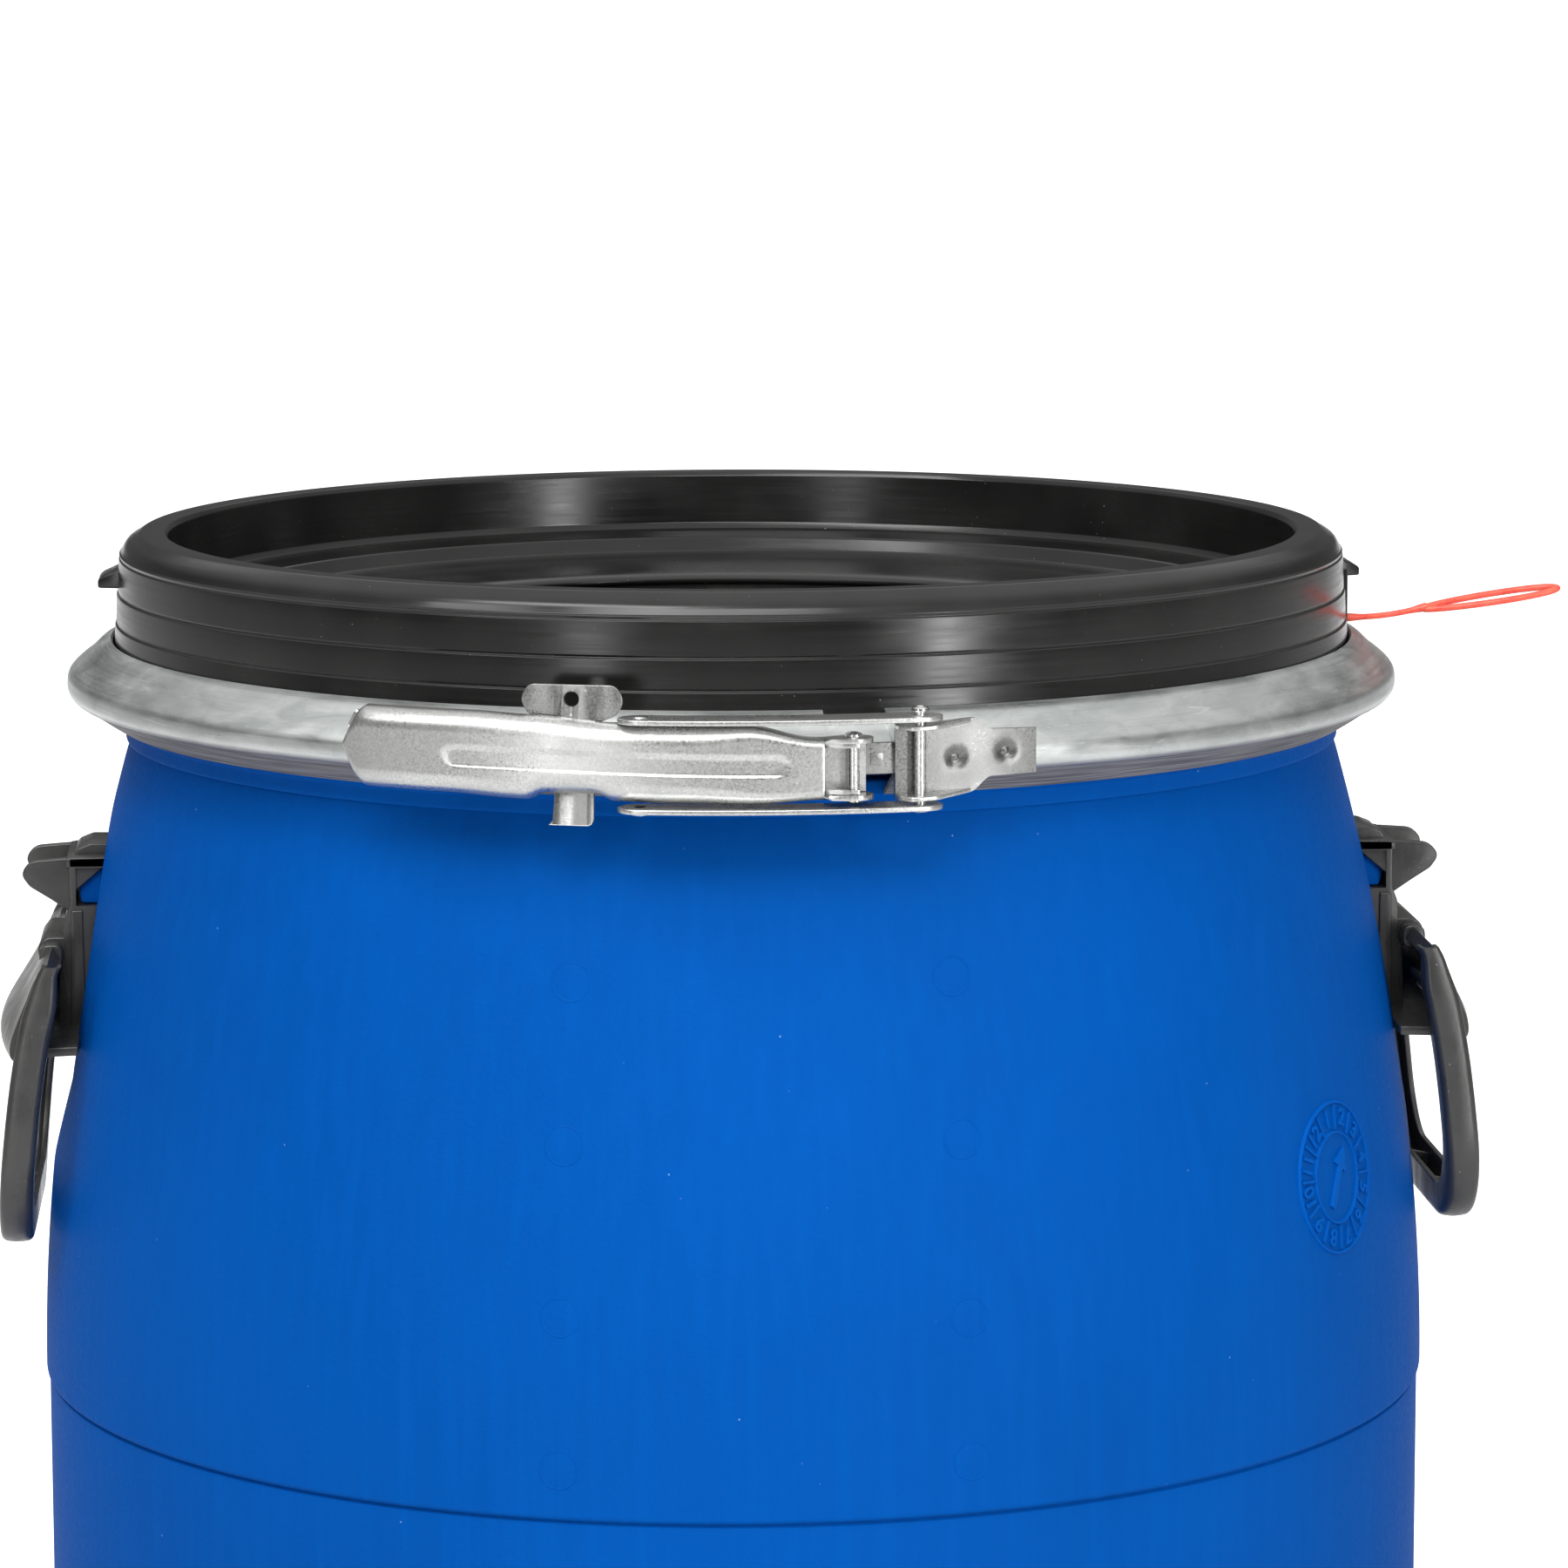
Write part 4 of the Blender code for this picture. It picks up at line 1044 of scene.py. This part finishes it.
def lever_surface():
    """The lever's outer side: a face between two walls that run on, past the face's end, as ears."""
    nose = [LEVER_END_AT + 2.2 * (1.0 - math.cos(math.radians(9.0 * i))) for i in range(11)]
    shape = bmesh.new()
    face = nose + spread(nose[-1], LEVER_FACE_END, 0.3) + [LEVER_FACE_END]
    last = skin(shape, [lever_section(azimuth) for azimuth in face])[-1]
    inset = LEVER_FLANGE + LEVER_CORNER // 2
    upper = [last[:LEVER_FLANGE] + [last[inset]]]
    lower = [[last[-1 - inset]] + last[-LEVER_FLANGE:]]
    ears = [LEVER_FACE_END + (LEVER_PIN_AT - LEVER_FACE_END) * i / 4.0 for i in range(1, 5)]
    reach = math.degrees(EAR_R / PIN_CIRCLE)
    ears += [LEVER_PIN_AT + reach * math.sin(math.radians(10.0 * i)) for i in range(1, 10)]
    for azimuth in ears:
        low, high = lever_edges(azimuth)
        inner, out = lever_depth(azimuth)
        radii = [inner + (out - inner) * k / LEVER_FLANGE for k in range(LEVER_FLANGE + 1)]
        upper.append([shape.verts.new(polar(r, azimuth, high)) for r in radii])
        lower.append([shape.verts.new(polar(r, azimuth, low)) for r in radii[::-1]])
    lace(shape, upper)
    lace(shape, lower)
    return shape


def lever():
    """The pressed channel: rounded along its edges, closed in at its free end, ending in two ears."""
    made = from_mesh("lever_channel", lever_surface(), ZINC, 40.0)
    sheet = made.modifiers.new("sheet", "SOLIDIFY")
    sheet.thickness = SHEET * MM
    sheet.offset = -1.0
    settle(made)
    soft_edge = made.modifiers.new("edge", "BEVEL")
    soft_edge.width = 0.22 * MM
    soft_edge.segments = 2
    soft_edge.limit_method = "ANGLE"
    soft_edge.angle_limit = math.radians(60.0)
    settle(made)
    stand_in(made, "lever", "galvanised_steel", "closure_lever")


def link_outline():
    """A link's outline: round ends about its two pins, joined by arcs about the drum's axis."""
    half = LINK_WIDTH / 2.0
    points = []
    for azimuth, other, side in ((ANCHOR_PIN_AT, LINK_PIN_AT, 1.0), (LINK_PIN_AT, ANCHOR_PIN_AT, -1.0)):
        place = beside(azimuth)
        points += [place(u, v, 0.0) for u, v in arc((0.0, 0.0), half, -90.0 * side, 180.0 - 90.0 * side, 16)]
        turns = [azimuth + (other - azimuth) * k / 24.0 for k in range(1, 24)]
        points += [polar(PIN_CIRCLE + half * side, turn, 0.0) for turn in turns]
    return [(point.x, point.y) for point in points]


def links():
    for word, middle in (("upper", LINK_Z[1]), ("lower", LINK_Z[0])):
        low, high = middle - LINK_HALF_THICK, middle + LINK_HALF_THICK
        made = plate(word + "_link_strip", link_outline(), low, high, flat, ZINC)
        stand_in(made, "links", "galvanised_steel", word + "_link")


def head(z, up, rise=1.3):
    """A peened rivet head with a pressed centre, as a profile from its rim to its middle."""
    profile = [(2.2, 0.0), (2.35, 0.2), (2.25, 0.6), (1.8, 0.85), (1.2, 1.0), (0.9, 0.8), (0.0, 0.75)]
    return [(r, z + up * h * rise) for r, h in profile]


def shank(low, high):
    return [(PIN_R, low), (PIN_R, high)]


def pins():
    """The lever's pin, the anchor's pin and the two short rivets that join the links to the lever."""
    half = LINK_HALF_THICK
    low, high = LINK_Z[0] - half, LINK_Z[1] + half
    raised = high + 0.9
    upper_end, lower_end = LINK_Z[1] - half, LINK_Z[0] + half
    outlines = (
        ("lever_pin", LEVER_PIN_AT, head(EAR_Z[0], -1)[::-1] + shank(*EAR_Z) + head(EAR_Z[1], 1),
         "ring_left", "lever_pivot_pin"),
        ("anchor_rivet", ANCHOR_PIN_AT, head(low, -1, 1.1)[::-1] + shank(low, raised) + head(raised, 1),
         "ring_right", "anchor_pin"),
        ("upper_rivet", LINK_PIN_AT, [(0.0, upper_end)] + shank(upper_end, high) + head(high, 1, 0.5),
         "links", "link_rivet_upper"),
        ("lower_rivet", LINK_PIN_AT, head(low, -1, 1.1)[::-1] + shank(low, lower_end) + [(0.0, lower_end)],
         "links", "link_rivet_lower"),
    )
    for name, azimuth, outline, rides_on, node in outlines:
        made = wrapped(name, circled(beside(azimuth), outline, 40), PIN, 30.0, ring=False)
        stand_in(made, rides_on, "bright_zinc", node)


# ---------------------------------------------------------------- handles

def bracket_block(place):
    """The clip's plate, with the window that the blue lug fills."""
    low, high = BRACKET_Z
    out = BRACKET_OUT_R
    face = rounded([(172.0, low, 0.0), (191.0, low, 3.0), (out, low + 4.0, 1.5), (out - 0.6, 500.5, 0.4),
                    (out - 1.6, 501.1, 0.4), (out - 2.2, 512.5, 1.5), (190.8, 516.5, 1.0),
                    (190.8, high, 1.0), (172.0, high, 0.0)])
    block = plate("block", face, -BRACKET_HALF, BRACKET_HALF, place, HANDLE, 0.8)
    window = [(150.0, 516.2), (188.9, 516.2), (188.9, 527.2), (150.0, 527.2)]
    cut(block, plate("window", window, -30.0, 30.0, place, HANDLE, 0.0))
    return block


def bracket(name, place):
    """The clip: a ridged plate, a hump on top, two wings that stop the grip, and the hinge's barrel."""
    low, high = BRACKET_Z
    x, z = HINGE_X, HINGE_Z
    half = BRACKET_HALF
    edge = rounded([(186.6, low + 2.0, 0.5), (191.0, low + 2.0, 0.8), (190.4, 515.0, 1.0),
                    (187.0, 515.0, 0.5)])
    ridge = plate("ridge", edge, -half - 0.8, half + 0.8, place, HANDLE, 0.5)
    crown = rounded([(172.0, high - 2.0, 0.0), (189.4, high - 2.0, 0.6), (189.2, high + 1.4, 3.6),
                     (184.6, high + 3.2, 3.0), (172.0, high + 3.0, 0.0)], 9.0)
    hump = plate("hump", crown, -11.0, 11.0, place, HANDLE, 1.2)
    ledge = rounded([(172.0, high - 3.0, 0.0), (191.6, high - 3.0, 0.6), (191.6, high - 0.2, 0.8),
                     (172.0, high + 0.2, 0.0)])
    shelf = plate("shelf", ledge, -half, half, place, HANDLE, 0.4)
    tube = arc((x, z), BARREL_R, -90.0, 90.0, 16) + [(x - 6.0, z + BARREL_R), (x - 6.0, z - BARREL_R)]
    barrel = plate("barrel", tube, -half + 0.4, half - 0.4, place, HANDLE, 0.5)
    blade = rounded([(180.0, high - 2.2, 0.0), (190.8, high - 0.2, 10.0), (201.8, high - 1.0, 6.0),
                     (204.6, high - 4.8, 3.4), (202.0, high - 8.4, 4.0), (196.3, high - 12.0, 0.0),
                     (190.4, high - 16.0, 1.0), (189.2, high - 10.0, 0.5)], 8.0)
    wings = [plate("wing", blade, y, y + WING_THICK, place, HANDLE, 0.6) for y in WING_AT]
    return joined(name, [bracket_block(place), ridge, hump, shelf, barrel] + wings)


def grip_centre(z):
    """The loop's middle line in side view: it leans out from the hinge and turns upright towards its foot."""
    heights, values = zip(*GRIP_LINE)
    if z >= heights[0]:
        return values[0] + (values[1] - values[0]) * (z - heights[0]) / (heights[1] - heights[0])
    for i in range(len(heights) - 1):
        if z >= heights[i + 1]:
            return between(values, i, (z - heights[i]) / (heights[i + 1] - heights[i]))
    return values[-1]


def loop_line(half, low, high, corner):
    """The loop's line in front view, as (y, z): down one leg, along the foot and up the other leg."""
    count = 28
    down = [(-half, high + (low + corner - high) * i / count) for i in range(count)]
    down += arc((-half + corner, low + corner), corner, 180.0, 270.0, 16)
    foot = [(-half + corner + 2.0 * (half - corner) * i / count, low) for i in range(1, count)]
    return down + foot + [(-y, z) for y, z in down[::-1]]


def grip_section():
    """The loop's section, as (outwards from the loop, away from the drum): a channel open to the inside."""
    half, thick = GRIP_WIDTH / 2.0, GRIP_THICK / 2.0
    wall = 1.7
    return rounded([
        (-half, -thick, 0.5), (half, -thick, 3.4), (half + 0.5, 0.0, 9.0), (half, thick, 3.4),
        (-half, thick, 0.5), (-half, thick - wall, 0.4), (half - 2.2, thick - wall - 0.5, 1.5),
        (half - 2.2, wall + 0.5 - thick, 1.5), (-half, wall - thick, 0.4),
    ])


def grip_loop(place):
    """The hollow loop itself, which gets slimmer where it meets the cap."""
    half = GRIP_WIDTH / 2.0
    line = loop_line(GRIP_HALF - half, GRIP_BOTTOM + half, GRIP_TOP, GRIP_CORNER)
    rows = []
    for i, (y, height) in enumerate(line):
        along = Vector(line[min(i + 1, len(line) - 1)]) - Vector(line[max(i - 1, 0)])
        along.normalize()
        taper = ease(GRIP_TOP - 15.0, GRIP_TOP, height)
        row = []
        for a, b in grip_section():
            a *= 1.0 - 0.3 * taper
            b *= 1.0 - 0.4 * taper
            z = height - along.x * a
            row.append(place(grip_centre(z) + b + 1.6 * taper, z, y + along.y * a))
        rows.append(row)
    return capped("loop", rows, HANDLE)


def grip_cap(place):
    """The sloping cap over the hinge, crowned along its length."""
    section = smooth_line([(195.6, 506.0), (198.8, 502.6), (201.4, 496.4), (204.2, 489.6), (206.3, 483.6),
                           (206.2, 479.6), (203.6, 477.4)], 4)
    section += [(202.2, 479.8), (203.0, 483.8), (200.6, 489.6), (197.8, 495.0), (195.4, 499.6),
                (193.4, 502.8)]
    rows = []
    for y in [-CAP_REACH] + spread(-CAP_REACH, CAP_REACH, 4.0) + [CAP_REACH]:
        swell = CAP_SWELL * (1.0 - (y / CAP_REACH) ** 2)
        rows.append([place(u + swell * ease(504.0, 482.0, v), v, y) for u, v in section])
    return capped("cap", rows, HANDLE)


def grip(name, place):
    """The lifting loop and its foot ribs, the cap over the hinge, the shelf inside it, the axle and hubs."""
    x, z = HINGE_X, HINGE_Z
    parts = [grip_loop(place)]
    middle = grip_centre(GRIP_BOTTOM + 5.0)
    rib = rounded([(middle - 3.9, GRIP_BOTTOM + 1.4, 0.3), (middle + 3.9, GRIP_BOTTOM + 1.4, 0.3),
                   (middle + 3.9, GRIP_BOTTOM + 7.0, 0.3), (middle - 3.9, GRIP_BOTTOM + 8.6, 0.3)])
    for y in (-FOOT_RIB_AT, FOOT_RIB_AT):
        parts.append(plate("rib", rib, y - 0.8, y + 0.8, place, HANDLE, 0.2))
    parts.append(grip_cap(place))
    shelf = rounded([(187.6, 479.2, 0.6), (204.4, 478.6, 0.6), (205.0, 481.4, 0.8), (187.6, 481.8, 0.6)])
    parts.append(plate("shelf", shelf, -INNER_SHELF_HALF, INNER_SHELF_HALF, place, HANDLE, 0.5))
    axle = arc((x, z), AXLE_R, 0.0, 345.0, 23)
    parts.append(plate("axle", axle, -AXLE_HALF, AXLE_HALF, place, HANDLE))
    hub = rounded([(x - 3.4, z - 3.4, 2.6), (x + 3.4, z - 3.8, 2.6), (x + 3.2, z + 3.0, 2.8),
                   (x - 3.2, z + 3.2, 2.6)])
    near, far = BRACKET_HALF + 0.8, HUB_END
    parts += [plate("hub", hub, low, high, place, HANDLE, 0.6) for low, high in ((-far, -near), (near, far))]
    return joined(name, parts)


def handles():
    for side, word in ((1, "right"), (-1, "left")):
        place = to_side(side)
        clip = bracket("bracket_clip_" + word, place)
        stand_in(clip, "drum", "handle_plastic", "handle_bracket_" + word)
        stand_in(grip("drop_grip_" + word, place), "grip_" + word, "handle_plastic", "handle_grip_" + word)


# ---------------------------------------------------------------- tamper seal

def seal_place(out, up, across=0.0):
    """A point of the seal, which lies in one upright plane apart from its loop's width."""
    return polar(out, SEAL_AT, up) + polar(across, SEAL_AT + 90.0, 0.0)


def seal_rows(path, radii, closed=False):
    """Slightly flattened rings along a path."""
    rows = []
    last = len(path) - 1
    for i, (point, radius) in enumerate(zip(path, radii)):
        ahead = path[(i + 1) % len(path)] if closed else path[min(i + 1, last)]
        before = path[i - 1] if closed else path[max(i - 1, 0)]
        along = (ahead - before).normalized()
        sideways = along.cross(Vector((0.0, 0.0, 1.0))).normalized()
        up = sideways.cross(along)
        circle = arc((0.0, 0.0), radius, 0.0, 337.5, 15)
        rows.append([point + sideways * u * 1.15 + up * v for u, v in circle])
    return rows


def seal():
    """The moulded pull seal: a thin stem that forks into a long narrow loop."""
    out, up = SEAL_SPLIT
    steps = 72
    path = []
    for i in range(steps):
        t = math.tau * i / steps
        along = 0.5 - 0.5 * math.cos(t)
        wide = SEAL_LOOP_HALF * math.sin(t) * (0.35 + 0.65 * along)
        rise = (SEAL_TIP[1] - up) * along + SEAL_LOOP_LIFT * math.sin(t)
        path.append(seal_place(out + (SEAL_TIP[0] - out) * along, up + rise, wide))
    loop = wrapped("loop", seal_rows(path, [SEAL_LOOP_R] * steps, closed=True), SEAL)
    start_out, start_up = SEAL_START
    path, radii = [], []
    for i in range(21):
        t = i / 20.0
        rise = (up - start_up) * t - SEAL_STEM_SAG * math.sin(math.pi * t) + 0.5
        path.append(seal_place(start_out + (out + 1.0 - start_out) * t, start_up + rise))
        radii.append(0.85 + 0.45 * ease(0.75, 1.0, t) + 0.35 * ease(0.25, 0.0, t))
    stem = capped("stem", seal_rows(path, radii), SEAL)
    stand_in(joined("pull_seal", [loop, stem]), "lid", "seal_plastic", "tamper_seal")


# ---------------------------------------------------------------- studio

def floor():
    """A wide pale floor whose far parts glow in a beam that fans out behind the drum: painted light that
    stands in for a lit white sweep.
    """
    look = Look("pale_floor", Roughness=0.7, Emission_Color=rgb(1.0, 1.0, 1.0))
    look.colour(look.mix(look.noise(3.0, 2.0), rgb(0.78, 0.78, 0.78), rgb(0.82, 0.82, 0.82)))
    shift = (-GLOW_FROM[0], -GLOW_FROM[1], 0.0)
    x, y, _ = look.apart(look.add("ShaderNodeMapping", {"Vector": look.place, "Location": shift}).outputs[0])
    aside = look.math("ABSOLUTE", look.math("SUBTRACT", look.math("DIVIDE", x, y), GLOW_SLOPE))
    beam = look.span(aside, *GLOW_SIDES, 1.0, 0.0)
    glow = look.math("MULTIPLY", look.span(y, *GLOW_DEPTH, 0.0, FLOOR_GLOW), beam)
    look.feed(look.shader.inputs["Emission Strength"], glow)
    shape = bmesh.new()
    corners = arc((0.0, 0.0), FLOOR_HALF * math.sqrt(2.0), -135.0, 135.0, 3)
    shape.faces.new([shape.verts.new((x, y, -0.2)) for x, y in corners])
    from_mesh("floor", shape, look.material)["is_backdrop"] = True


def soft_box(name, azimuth, distance, height, aim_height, width, length, power):
    """A soft light facing the drum."""
    light = bpy.data.lights.new(name, "AREA")
    light.shape = "RECTANGLE"
    light.size = width * MM
    light.size_y = length * MM
    light.energy = power
    made = link(name, light)
    made.location = polar(distance, CAMERA_AZIMUTH + azimuth, height) * MM
    aim = Vector((0.0, 0.0, aim_height)) * MM - made.location
    made.rotation_euler = aim.to_track_quat("-Z", "Y").to_euler()


def lights():
    for name, setting in SOFT_BOXES.items():
        soft_box(name, *setting)
    world = bpy.data.worlds.new("studio")
    world.use_nodes = True
    nodes = world.node_tree.nodes
    links = world.node_tree.links
    place = nodes.new("ShaderNodeTexCoord")
    parts = nodes.new("ShaderNodeSeparateXYZ")
    span = nodes.new("ShaderNodeMapRange")
    low, high = WORLD_SPAN
    sockets = {"From Min": low, "From Max": high, "To Min": WORLD_LOW, "To Max": WORLD_HIGH}
    for socket, value in sockets.items():
        span.inputs[socket].default_value = value
    links.new(place.outputs["Generated"], parts.inputs[0])
    links.new(parts.outputs[2], span.inputs["Value"])
    links.new(span.outputs[0], nodes["Background"].inputs["Strength"])
    nodes["Background"].inputs["Color"].default_value = rgb(1.0, 1.0, 1.0)
    bpy.context.scene.world = world


def camera():
    """A long lens in front of the closure, looking slightly down on the lid."""
    data = bpy.data.cameras.new("camera")
    data.lens = CAMERA_LENS
    data.sensor_width = 36.0
    data.clip_end = 500.0
    made = link("camera", data)
    stand = Matrix.Translation(polar(CAMERA_DISTANCE, CAMERA_AZIMUTH, CAMERA_HEIGHT) * MM)
    turn = Matrix.Rotation(math.radians(CAMERA_AZIMUTH - CAMERA_YAW), 4, "Z")
    tilt = Matrix.Rotation(math.radians(90.0 - CAMERA_TILT), 4, "X")
    roll = Matrix.Rotation(math.radians(-CAMERA_ROLL), 4, "Z")
    made.matrix_world = stand @ turn @ tilt @ roll
    bpy.context.scene.camera = made


def write_size():
    """Works out the CAD model's box and the visual model's box; nothing is written."""
    for word, box in (("cad", CAD_BOX), ("visual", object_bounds())):
        [[float(value) for value in corner] for corner in box]


body()
lid()
clamp_band()
tongue()
lever_bracket()
anchor()
latch()
lever()
links()
pins()
handles()
seal()
floor()
lights()
camera()
bpy.context.scene.view_settings.view_transform = "Standard"
write_size()
